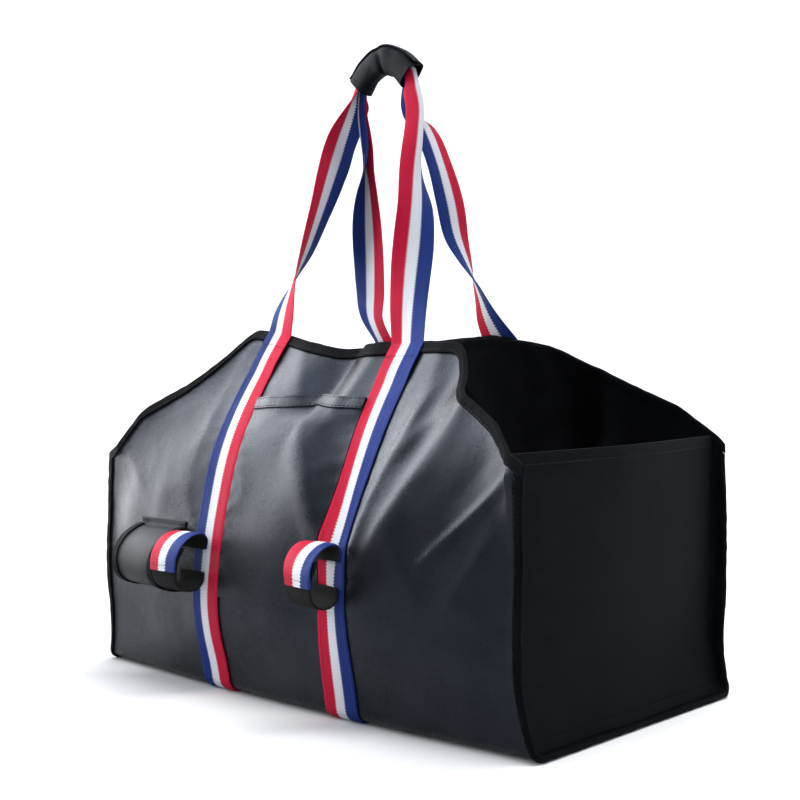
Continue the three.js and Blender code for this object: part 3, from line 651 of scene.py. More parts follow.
def canvas_out(column, row):
    """The outward direction of the canvas."""
    across = canvas(column + PROBE_COLUMN, row) - canvas(column - PROBE_COLUMN, row)
    before, after = np.maximum(row - PROBE_ROW, 0.0), np.minimum(row + PROBE_ROW, 3.0)
    return unit(np.cross(canvas(column, after) - canvas(column, before), across))


def on_canvas(column, row, stand):
    """Points that stand off the canvas by a distance."""
    return canvas(column, row) + np.asarray(stand)[..., None] * canvas_out(column, row)


def front_row(column, z):
    """The row at which a column of the front reaches a height."""
    return 1 - (z - FOOT_Z) / (section(FRONT, column, "top") - FOOT_Z)


def below_rim(face, column, drop):
    """The row at which a column of a face has dropped below its top edge by a distance."""
    return face["rim_row"] + face["down"] * drop / (section(face, column, "top") - FOOT_Z)


middle_line = canvas(0.0, np.linspace(0, 3, MEASURE_STEPS))
print("canvas: the long panel is", round(run_length(middle_line)[-1]), "mm from edge to edge")

# %% [markdown]
# ## Meshes from grids
# Cloth is a sheet with a thickness, so each piece is a closed shell between an outer and an inner grid of
# points. The grid also gives the cloth its UV map in metres, and the weave in the finishes follows that.

# %% Measure a grid of points
MM = 0.001


def cloth_lengths(grid):
    """UV of a grid of points: lengths along its rows and columns, in metres, measured through its middle."""
    rows, columns = grid.shape[:2]
    lengths = [run_length(line) * MM for line in (grid[rows // 2], grid[:, columns // 2])]
    return np.stack(np.meshgrid(*lengths), axis=-1)


def flat_cut(grid):
    """Width, length and area of the flat cloth that a grid was bent from, in metres."""
    down, across = np.diff(grid, axis=0), np.diff(grid, axis=1)
    length = np.linalg.norm(down, axis=-1).sum(axis=0).max()
    width = np.median(np.linalg.norm(across, axis=-1).sum(axis=1))
    area = np.linalg.norm(np.cross(down[:, :-1], across[:-1]), axis=-1).sum()
    return width * MM, length * MM, area * MM * MM


columns, rows = np.meshgrid(np.linspace(-SEAM_FOOT, SEAM_FOOT), np.linspace(0, 3))
print("the long panel, cut flat:", np.round(flat_cut(canvas(columns, rows)), 2), "m, m and square metres")

# %% Close two grids into a shell
CENTRE_SHIFT = 21.0
SHARP = math.radians(50)


def in_place(points):
    """Millimetres of the bag's own tables as metres of the frame."""
    return points * MM + (0, CENTRE_SHIFT * MM, 0)


def solid_piece(name, points, faces, uv, finish):
    mesh = bpy.data.meshes.new(name)
    mesh.from_pydata(in_place(points).tolist(), [], faces)
    layer = mesh.uv_layers.new(name="cloth")
    corners = np.empty(len(mesh.loops), dtype=int)
    mesh.loops.foreach_get("vertex_index", corners)
    layer.data.foreach_set("uv", uv.reshape(-1, 2)[corners].ravel())
    mesh.polygons.foreach_set("use_smooth", [True] * len(mesh.polygons))
    mesh.set_sharp_from_angle(angle=SHARP)
    mesh.materials.append(finish)
    return link(name, mesh)


def grid_out(grid):
    """The direction out of a grid, from its own rows and columns."""
    return unit(np.cross(np.gradient(grid, axis=0), np.gradient(grid, axis=1)))


def quads(a, b, c, d):
    return np.stack([a.ravel(), b.ravel(), c.ravel(), d.ravel()], axis=1).tolist()


def shell(name, outer, inner, finish, uv=None):
    """A closed cloth between two grids. Its columns are turned round if its faces would point inward."""
    uv = cloth_lengths(outer) if uv is None else uv
    if ((outer - inner) * grid_out(outer)).sum() < 0:
        outer, inner, uv = outer[:, ::-1], inner[:, ::-1], uv[:, ::-1]
    rows, columns = outer.shape[:2]
    o = np.arange(rows * columns).reshape(rows, columns)
    i = o + rows * columns
    faces = quads(o[:-1, :-1], o[1:, :-1], o[1:, 1:], o[:-1, 1:])
    faces += quads(i[:-1, :-1], i[:-1, 1:], i[1:, 1:], i[1:, :-1])
    faces += quads(o[0, :-1], o[0, 1:], i[0, 1:], i[0, :-1])
    faces += quads(o[-1, 1:], o[-1, :-1], i[-1, :-1], i[-1, 1:])
    faces += quads(o[1:, 0], o[:-1, 0], i[:-1, 0], i[1:, 0])
    faces += quads(o[:-1, -1], o[1:, -1], i[1:, -1], i[:-1, -1])
    points = np.concatenate([outer.reshape(-1, 3), inner.reshape(-1, 3)])
    return solid_piece(name, points, faces, np.concatenate([uv, uv]), finish)


def thick_sheet(name, middle, thickness, finish, uv=None):
    out = grid_out(middle) * np.asarray(thickness)[..., None] / 2
    return shell(name, middle + out, middle - out, finish, uv)


def line_inside(piece, grid_shape, finish, first_rows=0):
    """Give the inner side of a shell, and the first rows of its outer side, a second finish."""
    across = grid_shape[1] - 1
    patches = (grid_shape[0] - 1) * across
    index = np.zeros(len(piece.data.polygons), int)
    index[patches:2 * patches] = 1
    index[:first_rows * across] = 1
    piece.data.materials.append(finish)
    piece.data.polygons.foreach_set("material_index", index)


print("meshes: shell and thick_sheet ready")

# %% [markdown]
# ## The long panel
# A bag is a shell that sags, so the panel is one continuous sheet with every fold in its mesh. A simulated
# drape would move the seams that the other pieces hang on. Modelled folds stay where the real ones are.

# %% Make the long panel
CANVAS_THICK = 2.0
FIN_COLUMN = SEAM_FOOT + FIN_FOOT
PANEL_COLUMNS = 167
FACE_STEPS = 92
CORNER_STEPS = 7
BOTTOM_STEPS = 16


def rows_round(start, face_steps, bottom_steps):
    """Rows from near the front's top edge, under the bottom and up to near the back's top edge."""
    face = np.linspace(start, 1, face_steps, endpoint=False)
    corner = np.linspace(0, CORNER_SHARE, CORNER_STEPS, endpoint=False)
    flat = np.linspace(CORNER_SHARE, 1 - CORNER_SHARE, bottom_steps)
    return np.concatenate([face, 1 + corner, 1 + flat, 2 - corner[::-1], 3 - face[::-1]])


def long_panel():
    inside = np.linspace(-SEAM_FOOT, SEAM_FOOT, PANEL_COLUMNS)
    fin = np.array([FIN_COLUMN - FIN_FOOT / 2, FIN_COLUMN])
    column = np.concatenate([-fin[::-1], inside, fin])
    column, row = np.meshgrid(column, rows_round(0, FACE_STEPS, BOTTOM_STEPS))
    outer = canvas(column, row)
    panel = shell("body_panel", outer, outer - CANVAS_THICK * canvas_out(column, row), CANVAS)
    line_inside(panel, outer.shape, END_CLOTH)
    return panel


body_panel = long_panel()
print("long panel:", len(body_panel.data.polygons), "faces")

# %% [markdown]
# ## The end panels
# Each end is a rectangle of the same cloth without the gloss, sewn between the front and the back. Packed
# once, it keeps a slight bulge, and its top edge is turned over into a hem.

# %% Make the end panels
LAYER_GAP = 0.4
TAPE = 1.2
END_BULGE = 14.0
END_HEM = 11.0
END_HEM_EXTRA = 1.3
END_ROWS = 74
END_COLUMNS = 60
END_DENT, END_DENT_CELL, END_SEED = 1.8, 85.0, 40
TAPED_ROWS, TAPE_FADE = 0.06, 0.04
SEAM_PROBE = 5.0
SEAM_EASE = 1.1


def end_panel(name, side):
    corner = np.linspace(0, CORNER_SHARE, CORNER_STEPS)[1:]
    row = np.concatenate([np.linspace(0, 1, END_ROWS), 1 + corner])
    near_top = 1 - ease((row - TAPED_ROWS) / TAPE_FADE)
    layers = CANVAS_THICK + 2 * LAYER_GAP + near_top * (2 * LAYER_GAP + TAPE)
    seam = side * SEAM_FOOT * np.ones_like(row)

    def meeting(rows, sign):
        """Where the end meets a face, drawn in by the layers that are sewn there."""
        point, within = canvas(seam, rows), canvas(seam - side * SEAM_PROBE, rows)
        depth = np.minimum(np.abs(point[:, 1]), np.abs(within[:, 1]))
        point[:, 1] = sign * (depth - SEAM_EASE * layers)
        point[:, 2] += np.where(row > 1, layers, 0.0)
        point[:, 0] -= side * LAYER_GAP
        return point

    front, back = meeting(row, -1.0), meeting(3 - row, 1.0)
    share = (1 - np.cos(np.linspace(0, math.pi, END_COLUMNS))) / 2
    grid = mix(front[:, None], back[:, None], share[None, :, None])
    high = ease((grid[..., 2] - FLOOR_Z) / FLANK_Z)
    dents = soft_noise(grid[..., 1], grid[..., 2], END_DENT, END_DENT_CELL, END_SEED + int(side))
    grid[..., 0] += side * np.sin(math.pi * share)[None, :] * (END_BULGE * high + dents)
    hem = np.where(grid[:1, :, 2] - grid[..., 2] < END_HEM, END_HEM_EXTRA, 0.0)
    inner = grid - np.stack([side * (CANVAS_THICK + hem), 0 * hem, 0 * hem], axis=-1)
    return shell(name, grid, inner, END_CLOTH)


end_left = end_panel("end_panel_left", -1.0)
end_right = end_panel("end_panel_right", 1.0)
print("end panels:", len(end_left.data.polygons), "faces each")

# %% [markdown]
# ## Bindings
# Raw edges are closed with a tape that is folded over them and sewn through. A section across such an edge
# is a narrow U, so the tape is that U carried along the edge, with small puckers where the needle has drawn
# it in.

# %% Fold tape over an edge
ROUND_STEPS = 7
TAPE_STEP = 4.0
TAPE_PUCKER, TAPE_PUCKER_CELL = 0.16, 7.0


def fold_over(gap):
    """The U across an edge: shares of the width inward, distances beyond the edge, and distances out."""
    radius = CANVAS_THICK / 2 + gap
    turn = np.linspace(0, math.pi, ROUND_STEPS)
    inward = np.concatenate([[1.0, 0.5], 0 * turn, [0.5, 1.0]])
    beyond = np.concatenate([[0.0, 0.0], radius * np.sin(turn), [0.0, 0.0]])
    out = np.concatenate([[radius, radius], radius * np.cos(turn), [-radius, -radius]])
    return inward, beyond, out


def edge_tape(name, edge, inward, out, width, seed):
    """Tape along an edge. inward and out are the directions of the canvas there."""
    length = run_length(edge)
    middle = edge - out * CANVAS_THICK / 2

    def layer(gap, puckered):
        share, beyond, stand = fold_over(gap)
        along, across = np.meshgrid(length, TAPE_STEP * np.arange(len(share)), indexing="ij")
        grow = 1 + soft_noise(along, across, puckered, TAPE_PUCKER_CELL, seed)
        inset = width[:, None] * share - beyond * grow
        raised = (stand * grow)[..., None] * out[:, None]
        return middle[:, None] + inset[..., None] * inward[:, None] + raised

    return shell(name, layer(LAYER_GAP + TAPE, TAPE_PUCKER), layer(LAYER_GAP, 0.0), TAPE_CLOTH)


print("tape:", len(fold_over(LAYER_GAP)[0]), "points across the fold")

# %% Bind the top edges and the end seams
RIM_TAPE = 8.0
RIM_STATIONS = 260
RIM_INSET = 0.5
RIM_SEED, SEAM_SEED = 3, 5
SEAM_COVER = 0.45
SEAM_STEPS = 66
SEAM_START = 0.042
SEAM_MIDDLE = 2.5
CORNER_LAP = 2.5
CORNER_DROP = 0.6


def rim_binding(name, face):
    column = np.linspace(-FIN_COLUMN + RIM_INSET, FIN_COLUMN - RIM_INSET, RIM_STATIONS)
    low = below_rim(face, column, RIM_TAPE)
    edge, within = canvas(column, face["rim_row"] + 0 * column), canvas(column, low)
    out = canvas_out(column, mix(face["rim_row"], low, 0.5))
    width = np.linalg.norm(within - edge, axis=1)
    inward = unit(within - edge)
    lap = CORNER_LAP * unit(edge[[0, -1]] - edge[[1, -2]]) - (0, 0, CORNER_DROP)
    edge = np.concatenate([edge[:1] + lap[:1], edge, edge[-1:] + lap[1:]])
    inward, out = (np.pad(lines, ((1, 1), (0, 0)), mode="edge") for lines in (inward, out))
    return edge_tape(name, edge, inward, out, np.pad(width, 1, mode="edge"), RIM_SEED)


def seam_binding(name, side):
    row = rows_round(SEAM_START, SEAM_STEPS, SEAM_STEPS)
    fin = side * FIN_COLUMN * np.ones_like(row)
    edge, seam = canvas(fin, row), canvas(fin - side * FIN_FOOT, row)
    out = canvas_out(fin - side * SEAM_MIDDLE, row)
    width = SEAM_COVER * np.linalg.norm(seam - edge, axis=1)
    return edge_tape(name, edge, unit(seam - edge), out, width, SEAM_SEED)


bindings = {
    "rim_binding_front": rim_binding("rim_binding_front", FRONT),
    "rim_binding_back": rim_binding("rim_binding_back", BACK),
    "seam_binding_left": seam_binding("seam_binding_left", -1.0),
    "seam_binding_right": seam_binding("seam_binding_right", 1.0),
}
print("bindings:", list(bindings))

# %% [markdown]
# ## The webbing
# Each handle is one length of webbing: from under the bottom up the face, free through the air to the grip,
# and down the same face again. Its free run is a smooth curve through a few points seen in the photo, and
# `turn` says how far the webbing has twisted about that run, so it shows its face here and its edge there.
# Near the grip the two halves of the webbing fold together, by `fold` degrees each.

# %% Tables of the handle runs
RUN = ("x", "y", "z", "turn", "fold")
FRONT_LEFT_RUN = (
    (-101, -67, 378, -14, 0),
    (-96, -57, 410, -40, 0),
    (-88, -47, 442, -62, 0),
    (-81, -34, 485, -76, 0),
    (-79, -19, 526, -90, 0),
    (-79, -7, 556, -93, 0),
    (-73, -1, 585, -90, 24),
)
FRONT_RIGHT_RUN = (
    (73, -65, 366, 10, 0),
    (67, -55, 402, 26, 0),
    (61, -44, 438, 52, 0),
    (55, -34, 474, 74, 4),
    (48, -23, 514, 90, 36),
    (44, -13, 552, 90, 58),
    (38, -5, 580, 90, 61),
)
BACK_LEFT_RUN = (
    (-105, 66, 378, -6, 0),
    (-98, 58, 406, 4, 3),
    (-89, 49, 441, 12, 16),
    (-80, 38, 480, 26, 36),
    (-71, 25, 517, 45, 60),
    (-62, 9, 548, 76, 80),
    (-60, 1, 587, 90, 82),
)
BACK_RIGHT_RUN = (
    (62, 66, 372, -24, 0),
    (55, 58, 400, -44, 0),
    (48, 50, 426, -70, 0),
    (42, 42, 452, -88, 0),
    (40, 34, 486, -94, 0),
    (35, 25, 522, -90, 0),
    (23, 17, 562, -90, 12),
    (13, 5, 588, -90, 68),
)
GRIP_AXIS = ((-55, 0, 614), (-42, 0, 627), (-21, 0, 636), (2, 0, 628), (17, 0, 614))
FINE_STEPS = 60


def spline(knots, count):
    """Evenly spaced points on a smooth curve through the knots, and the place of each among the knots."""
    knots = np.array(knots, float)
    padded = np.concatenate([[2 * knots[0] - knots[1]], knots, [2 * knots[-1] - knots[-2]]])
    points, places = [], []
    for k in range(len(knots) - 1):
        p0, p1, p2, p3 = padded[k:k + 4]
        d0, d1, d2 = (math.sqrt(np.linalg.norm(b - a)) for a, b in ((p0, p1), (p1, p2), (p2, p3)))
        leave = ((p1 - p0) / d0 - (p2 - p0) / (d0 + d1) + (p2 - p1) / d1) * d1
        arrive = ((p2 - p1) / d1 - (p3 - p1) / (d1 + d2) + (p3 - p2) / d2) * d1
        s = np.linspace(0, 1, FINE_STEPS, endpoint=False)[:, None]
        points.append(mix(p1, p2, ease(s)) + s * (1 - s) * ((1 - s) * leave - s * arrive))
        places.append(k + s[:, 0])
    points = np.concatenate(points + [knots[-1:]])
    places = np.append(np.concatenate(places), len(knots) - 1)
    length = run_length(points)
    at = np.linspace(0, length[-1], count)
    even = np.stack([np.interp(at, length, points[:, k]) for k in range(3)], axis=1)
    return even, np.interp(at, length, places)


print("handles:", round(max(row[2] for row in GRIP_AXIS)), "mm up to the grip's axis")

# %% Sections of a strap
WEBBING = 1.7
ACROSS = np.array([-1, -0.97, -0.9, -0.72, -0.5, -0.25, 0, 0.25, 0.5, 0.72, 0.9, 0.97, 1])
EDGE_FROM = 0.9
EDGE_THIN = 0.5
CUPPING = 0.7
RIDGE_ROUND = 0.02


def strap_uv(middle, from_blue):
    """UV of a strap: across its stripes from nought to one, and along it in metres."""
    along = run_length(middle[:, len(ACROSS) // 2]) * MM
    return np.stack(np.meshgrid((from_blue + 1) / 2, along), axis=-1)


def strap_thickness(thickness):
    """A strap's thickness at each of its points across, thinner at the woven edges."""
    near_edge = np.maximum(0, np.abs(ACROSS) - EDGE_FROM) / (1 - EDGE_FROM)
    return thickness * (1 - EDGE_THIN * near_edge)


def free_section(centre, along, heading, fold, gather):
    """Sections of free webbing. heading turns its width, fold bends its halves, gather draws it together."""
    angle = np.radians(heading)
    width = np.stack([np.cos(angle), np.sin(angle), 0 * angle], axis=-1)
    width = unit(width - along * (width * along).sum(-1, keepdims=True))
    face = np.cross(width, along)
    wing = np.radians(fold)[:, None]
    reach = np.sqrt(ACROSS ** 2 + RIDGE_ROUND) - math.sqrt(RIDGE_ROUND)
    half = (gather * WEBBING_WIDTH / 2)[:, None]
    lean = CUPPING * (1 - ACROSS ** 2) * np.cos(wing) - reach * half * np.sin(wing)
    tilt = ACROSS * half * np.cos(wing)
    return centre[:, None] + tilt[..., None] * width[:, None] + lean[..., None] * face[:, None]


print("strap:", len(ACROSS), "points across, edges of", strap_thickness(WEBBING)[0], "mm")

# %% Lay the webbing along its run
SEWN_STEPS = 110
FREE_STEPS = 84
GRIP_STEPS = 24
BOTTOM_MIDDLE = 1.5
OVER_TAPE_ROWS, OVER_TAPE_FADE = 0.13, 0.06
SETTLE = 0.16
STEEPEST_FOLD = 88.0
GATHER_END = 0.97
UP_Y = np.array([0.0, 1.0, 0.0])

grip_line, _ = spline(GRIP_AXIS, GRIP_STEPS)
grip_along = unit(np.gradient(grip_line, axis=0))
grip_up = np.cross(grip_along, UP_Y)


def sewn_sections(side, rim_row, outer_first):
    """Webbing on a face, from the middle of the bottom to the top edge."""
    half = WEBBING_WIDTH / 2 * (1 if outer_first else -1) * -side
    row = np.linspace(BOTTOM_MIDDLE, rim_row, SEWN_STEPS)
    column, row = np.meshgrid(side * STRAP_X + half * ACROSS, row)
    over_tape = ease((OVER_TAPE_ROWS - np.abs(row - rim_row)) / OVER_TAPE_FADE) * (LAYER_GAP + TAPE)
    points = on_canvas(column, row, LAYER_GAP + WEBBING / 2 + over_tape)
    points[0, :, 1] += LAYER_GAP * np.sign(rim_row - BOTTOM_MIDDLE)
    return points


def free_run(run, start_turn, end_turn, base_heading, rim, end, spec, downward):
    rows = columns_of(RUN, run)
    centre, place = spline([rim.mean(axis=0), *zip(rows["x"], rows["y"], rows["z"]), end], FREE_STEPS)
    turns = np.concatenate([[start_turn], rows["turn"], [end_turn]])
    folds = np.concatenate([[0.0], rows["fold"], [spec["fold"]]])
    knots = np.arange(len(turns))
    heading = base_heading + smooth_through(knots, turns, place)
    fold = np.clip(smooth_through(knots, folds, place), 0.0, STEEPEST_FOLD)
    share = np.linspace(0, 1, FREE_STEPS)
    along = unit(np.gradient(centre, axis=0)) * (-1 if downward else 1)
    gathered = ease((share - spec["gather_from"]) / (GATHER_END - spec["gather_from"]))
    sections = free_section(centre, along, heading, fold, mix(1.0, spec["gather"], gathered))
    settle = (1 - ease(share / SETTLE))[:, None, None]
    return sections + settle * (rim - sections[0])


def webbing_loop(name, spec):
    up = sewn_sections(-1.0, spec["rim_row"], spec["outer_first"])
    down = sewn_sections(1.0, spec["rim_row"], spec["outer_first"])[::-1]
    through = grip_line + spec["ridge"] * grip_up
    even = np.ones(GRIP_STEPS)
    in_grip = free_section(through, grip_along, -90 * even, spec["fold"] * even, spec["gather"] * even)
    left = free_run(*spec["left"], up[-1], through[0], spec, False)
    right = free_run(*spec["right"], down[0], through[-1], spec, True)[::-1]
    middle = np.concatenate([up, left[1:-1], in_grip, right[1:-1], down])
    uv = strap_uv(middle, ACROSS if spec["outer_first"] else -ACROSS)
    return thick_sheet(name, middle, strap_thickness(WEBBING), STRIPES, uv)


# A run is followed by its turns at the top edge and at the grip, and the heading they are counted from.
front_webbing = webbing_loop("front_webbing", {
    "rim_row": 0.0, "outer_first": True, "ridge": 7.8, "fold": 68.0, "gather": 0.7, "gather_from": 0.92,
    "left": (FRONT_LEFT_RUN, -4.0, -90.0, 0.0),
    "right": (FRONT_RIGHT_RUN, 0.0, 90.0, 180.0),
})
back_webbing = webbing_loop("back_webbing", {
    "rim_row": 3.0, "outer_first": False, "ridge": 2.2, "fold": 82.0, "gather": 0.56, "gather_from": 0.74,
    "left": (BACK_LEFT_RUN, 0.0, 90.0, 180.0),
    "right": (BACK_RIGHT_RUN, -6.0, -90.0, 0.0),
})

# %% [markdown]
# ## The front pocket
# The pocket is a plain patch between the straps, caught under their edges and open at the top. Its top edge
# is turned over twice into a band, and the cloth there hangs a little slack.

# %% Make the front pocket
POCKET_HALF = STRAP_X - WEBBING_WIDTH / 2 - 0.7
POCKET_LOW = 96.0
POCKET_TOP = 284.5
POCKET_HEM = 10.5
POCKET_HEM_EXTRA = 1.5
POCKET_CLOTH = 1.4
POCKET_GAP = 0.7
POCKET_SLACK = 4.5
POCKET_COLUMNS = 44
POCKET_ROWS = 64
HEM_ROWS = 7
HEM_STEP = 0.6
HEM_CATCH = 0.1
POCKET_PUCKER = (0.9, 15.0, 61)
DEEPEST_PUCKER = -0.8


def pocket_layers(column, z):
    """How far the inside and the outside of the pocket stand off the canvas."""
    bow = np.sin(math.pi * (column / POCKET_HALF + 1) / 2)
    inner = POCKET_GAP + POCKET_SLACK * (bow * ease((z - POCKET_LOW) / (POCKET_TOP - POCKET_LOW)))
    near_hem = ease((z - POCKET_TOP + 3 * POCKET_HEM) / POCKET_HEM)
    pucker = soft_noise(column, z, *POCKET_PUCKER) * near_hem
    hem = np.where(z > POCKET_TOP - POCKET_HEM - HEM_CATCH, POCKET_HEM_EXTRA, 0.0)
    return inner, inner + POCKET_CLOTH + hem + np.maximum(pucker, DEEPEST_PUCKER)


def pocket_patch():
    hem_end = POCKET_TOP - POCKET_HEM
    z = np.concatenate([
        np.linspace(POCKET_TOP, hem_end, HEM_ROWS),
        np.linspace(hem_end - HEM_STEP, POCKET_LOW, POCKET_ROWS),
    ])
    column, z = np.meshgrid(np.linspace(-POCKET_HALF, POCKET_HALF, POCKET_COLUMNS), z)
    row = front_row(column, z)
    inner, outer = (on_canvas(column, row, stand) for stand in pocket_layers(column, z))
    return shell("front_pocket", outer, inner, CANVAS)


front_pocket = pocket_patch()
print("front pocket:", len(front_pocket.data.polygons), "faces")

# %% [markdown]
# ## Tool sleeve and tool loops
# A half-round sleeve and two loops stand out from the front to carry something long. Each is a strip that
# leaves the face, rounds an empty space and comes back, so each is an upright outline carried along the bag,
# in rows of its distance out from the face and its height.

# %% Tables of the strips that stand out
SLEEVE_OUTLINE = (
    (0.9, 163), (1.0, 156), (10.5, 152.5), (25, 144), (34, 131), (36, 117), (31, 105), (18, 98), (2, 96),
)
TAB_OUTLINE = (
    (3.7, 139), (4.4, 149), (12, 154.5), (25, 153.5), (36, 146.5), (42.5, 135), (43.5, 121),
)
HOOK_OUTLINE = (
    (3.7, 117), (5, 107), (13, 101.5), (26, 102), (36, 108), (40.2, 117.5), (40, 131), (35, 143),
)
# Each loop has its side, its X at the root and at the end of its strip, and its lift.
LOOPS = (
    ("left", -106.0, -100.0, 0.0),
    ("right", 80.0, 91.0, 5.0),
)
print("strips:", [len(line) for line in (SLEEVE_OUTLINE, TAB_OUTLINE, HOOK_OUTLINE)], "points of outline")

# %% Make the sleeve and the loops
OUTLINE_STEPS = 54
TAB_ROOT = 9
HOOK_STRAP = 2.0
SLEEVE_LEFT, SLEEVE_RIGHT = -206.0, -127.0
SLEEVE_CLOTH = 1.6
SLEEVE_COLUMNS = 34
SLEEVE_FLANGE = 4
SLEEVE_DENTS = (0.7, 24.0, 71)
SLEEVE_FADE = (-0.6, 1.6)
FLANGE_THIN, FLANGE_SEWN = 0.55, 2
SLEEVE_TAPE = 9.0
SLEEVE_TAPE_COLUMNS = 7
SLEEVE_TAPE_DENTS = (0.25, 7.0, 73)


def standing_strip(outline, start, end, lift=0.0, raised=0.0):
    """Points of a strip that stands out from the front. start and end are its X values at its two ends."""
    line, _ = spline([(out, 0, z + lift) for out, z in outline], OUTLINE_STEPS)
    heading = unit(np.gradient(line, axis=0))
    line = line + raised * np.stack([-heading[:, 2], 0 * heading[:, 0], heading[:, 0]], axis=1)
    column = mix(start, end, np.linspace(0, 1, OUTLINE_STEPS)[:, None])
    z = np.repeat(line[:, 2:], column.shape[1], axis=1)
    face = canvas(column, front_row(column, z))
    return np.stack([face[..., 0], face[..., 1] - line[:, :1], z], axis=-1)


def tool_sleeve():
    across = np.linspace(SLEEVE_LEFT, SLEEVE_RIGHT, SLEEVE_COLUMNS)
    grid = standing_strip(SLEEVE_OUTLINE, across, across)
    dents = soft_noise(grid[..., 0], grid[..., 2], *SLEEVE_DENTS)
    grid[..., 1] -= dents * ease(np.linspace(*SLEEVE_FADE, OUTLINE_STEPS))[:, None]
    past_flange = ease((np.arange(OUTLINE_STEPS) - FLANGE_SEWN) / SLEEVE_FLANGE)
    thickness = SLEEVE_CLOTH * mix(FLANGE_THIN, 1.0, past_flange)
    return thick_sheet("tool_pouch", grid, thickness[:, None], SLEEVE_CANVAS)


def sleeve_tape(name, start, end):
    across = np.linspace(start, end, SLEEVE_TAPE_COLUMNS)
    stand = SLEEVE_CLOTH / 2 + LAYER_GAP + TAPE / 2
    grid = standing_strip(SLEEVE_OUTLINE, across, across, raised=stand)[SLEEVE_FLANGE:]
    grid[..., 1] -= soft_noise(grid[..., 0], grid[..., 2], *SLEEVE_TAPE_DENTS)
    return thick_sheet(name, grid, TAPE, TAPE_CLOTH)


def loop_grid(outline, loop, across, raised=0.0):
    _, root, end, lift = loop
    return standing_strip(outline, root + across, end + across, lift, raised)


def loop_strip(name, outline, loop, finish, thickness):
    grid = loop_grid(outline, loop, WEBBING_WIDTH / 2 * ACROSS)
    return thick_sheet(name, grid, strap_thickness(thickness), finish, strap_uv(grid, -ACROSS))


sleeve = tool_sleeve()
sleeve_tapes = {
    "pouch_edge_left": sleeve_tape("pouch_edge_left", SLEEVE_LEFT, SLEEVE_LEFT + SLEEVE_TAPE),
    "pouch_edge_right": sleeve_tape("pouch_edge_right", SLEEVE_RIGHT - SLEEVE_TAPE, SLEEVE_RIGHT),
}
tabs, hooks = {}, {}
for loop in LOOPS:
    side = loop[0]
    tabs[side] = loop_strip("tool_loop_" + side, TAB_OUTLINE, loop, STRIPES, WEBBING)
    line_inside(tabs[side], (OUTLINE_STEPS, len(ACROSS)), PILE, TAB_ROOT)
    hooks[side] = loop_strip("hook_strap_" + side, HOOK_OUTLINE, loop, PILE, HOOK_STRAP)
print("sleeve, tapes and loops:", 1 + len(sleeve_tapes) + len(tabs) + len(hooks), "pieces")

# %% [markdown]
# ## The grip
# The grip is a padded wrap: a rectangle of cloth over thin foam, rolled round both handles and closed on
# itself. It bends into an arch where the hand lifts it. The mesh is the rolled sheet, and a short cloth
# simulation with a little pressure between its two faces swells the padding against its sewn edges.

# %% Roll the wrap
WRAP_HALF_Y = 9.0
WRAP_HALF_UP = 12.6
WRAP_ROUNDNESS = 2.6
WRAP_WALL = 1.7
WRAP_INNER = -0.4
WRAP_START = math.radians(67)
WRAP_TURN = math.radians(408)
WRAP_AROUND = 126
WRAP_ALONG = 52
OVERLAP_FROM, OVERLAP_FADE, OVERLAP_GAP = 0.9, 0.8, 0.2
FLAP_LIFT, FLAP_ARC, FLAP_FLARE = 0.6, 0.5, 3
END_FLARE = 0.5
CREASE_DEPTH, CREASE_WIDTH, CREASE_LEAN = 2.0, 0.06, 0.12
CREASE_EVEN, CREASE_BELOW = 0.7, 0.3
BULGE_SHARE, BULGE_AT, BULGE_WIDTH = 0.45, 0.2, 0.13
WRAP_DENTS = (0.5, 17.0, 81)
WRAP_SPREAD_ALONG, WRAP_SPREAD_AROUND = 60, 30


def wrap_grid(stand):
    """A sheet rolled round the grip's axis, its end over its start, creased where the arch bends most."""
    line, _ = spline(GRIP_AXIS, WRAP_ALONG)
    up = np.cross(unit(np.gradient(line, axis=0)), UP_Y)
    wound = np.linspace(0, WRAP_TURN, WRAP_AROUND)
    angle = WRAP_START + wound
    share = np.linspace(-1, 1, WRAP_ALONG)[:, None]
    over = ease((wound - 2 * math.pi + OVERLAP_FROM) / OVERLAP_FADE) * (WRAP_WALL + OVERLAP_GAP)
    flap = FLAP_LIFT * ease((wound - WRAP_TURN + FLAP_ARC) / FLAP_ARC)
    flap = flap * (1 + FLAP_FLARE * np.maximum(share, 0) ** 3)
    lean = share + CREASE_LEAN * np.sin(angle)
    bulge = np.exp(-(((np.abs(lean) - BULGE_AT) / BULGE_WIDTH) ** 2))
    groove = np.exp(-((lean / CREASE_WIDTH) ** 2)) - BULGE_SHARE * bulge
    crease = CREASE_DEPTH * groove * (CREASE_EVEN - CREASE_BELOW * np.sin(angle))
    along, around = np.broadcast_arrays(WRAP_SPREAD_ALONG * share, WRAP_SPREAD_AROUND * wound)
    dents = soft_noise(along, around, *WRAP_DENTS)
    grow = stand + over + flap + END_FLARE * share ** 6 - crease + dents

    def rounded(value):
        return np.sign(value) * np.abs(value) ** (2 / WRAP_ROUNDNESS)

    across = (WRAP_HALF_Y + grow) * rounded(np.cos(angle))
    high = (WRAP_HALF_UP + grow) * rounded(np.sin(angle))
    return line[:, None] + across[..., None] * UP_Y + high[..., None] * up[:, None]


wrap_outside = wrap_grid(WRAP_INNER + WRAP_WALL)
grip = shell("grip", wrap_outside, wrap_grid(WRAP_INNER), WRAP_CLOTH)
print("grip:", len(grip.data.vertices), "points before it is padded")

# %% Swell the padding
SWELL_FRAMES = 18
SWELL_QUALITY = 6
SWELL_CAP = 0.0012
SWELL_PRESSURE = 14.0
SEWN_BORDER = 3


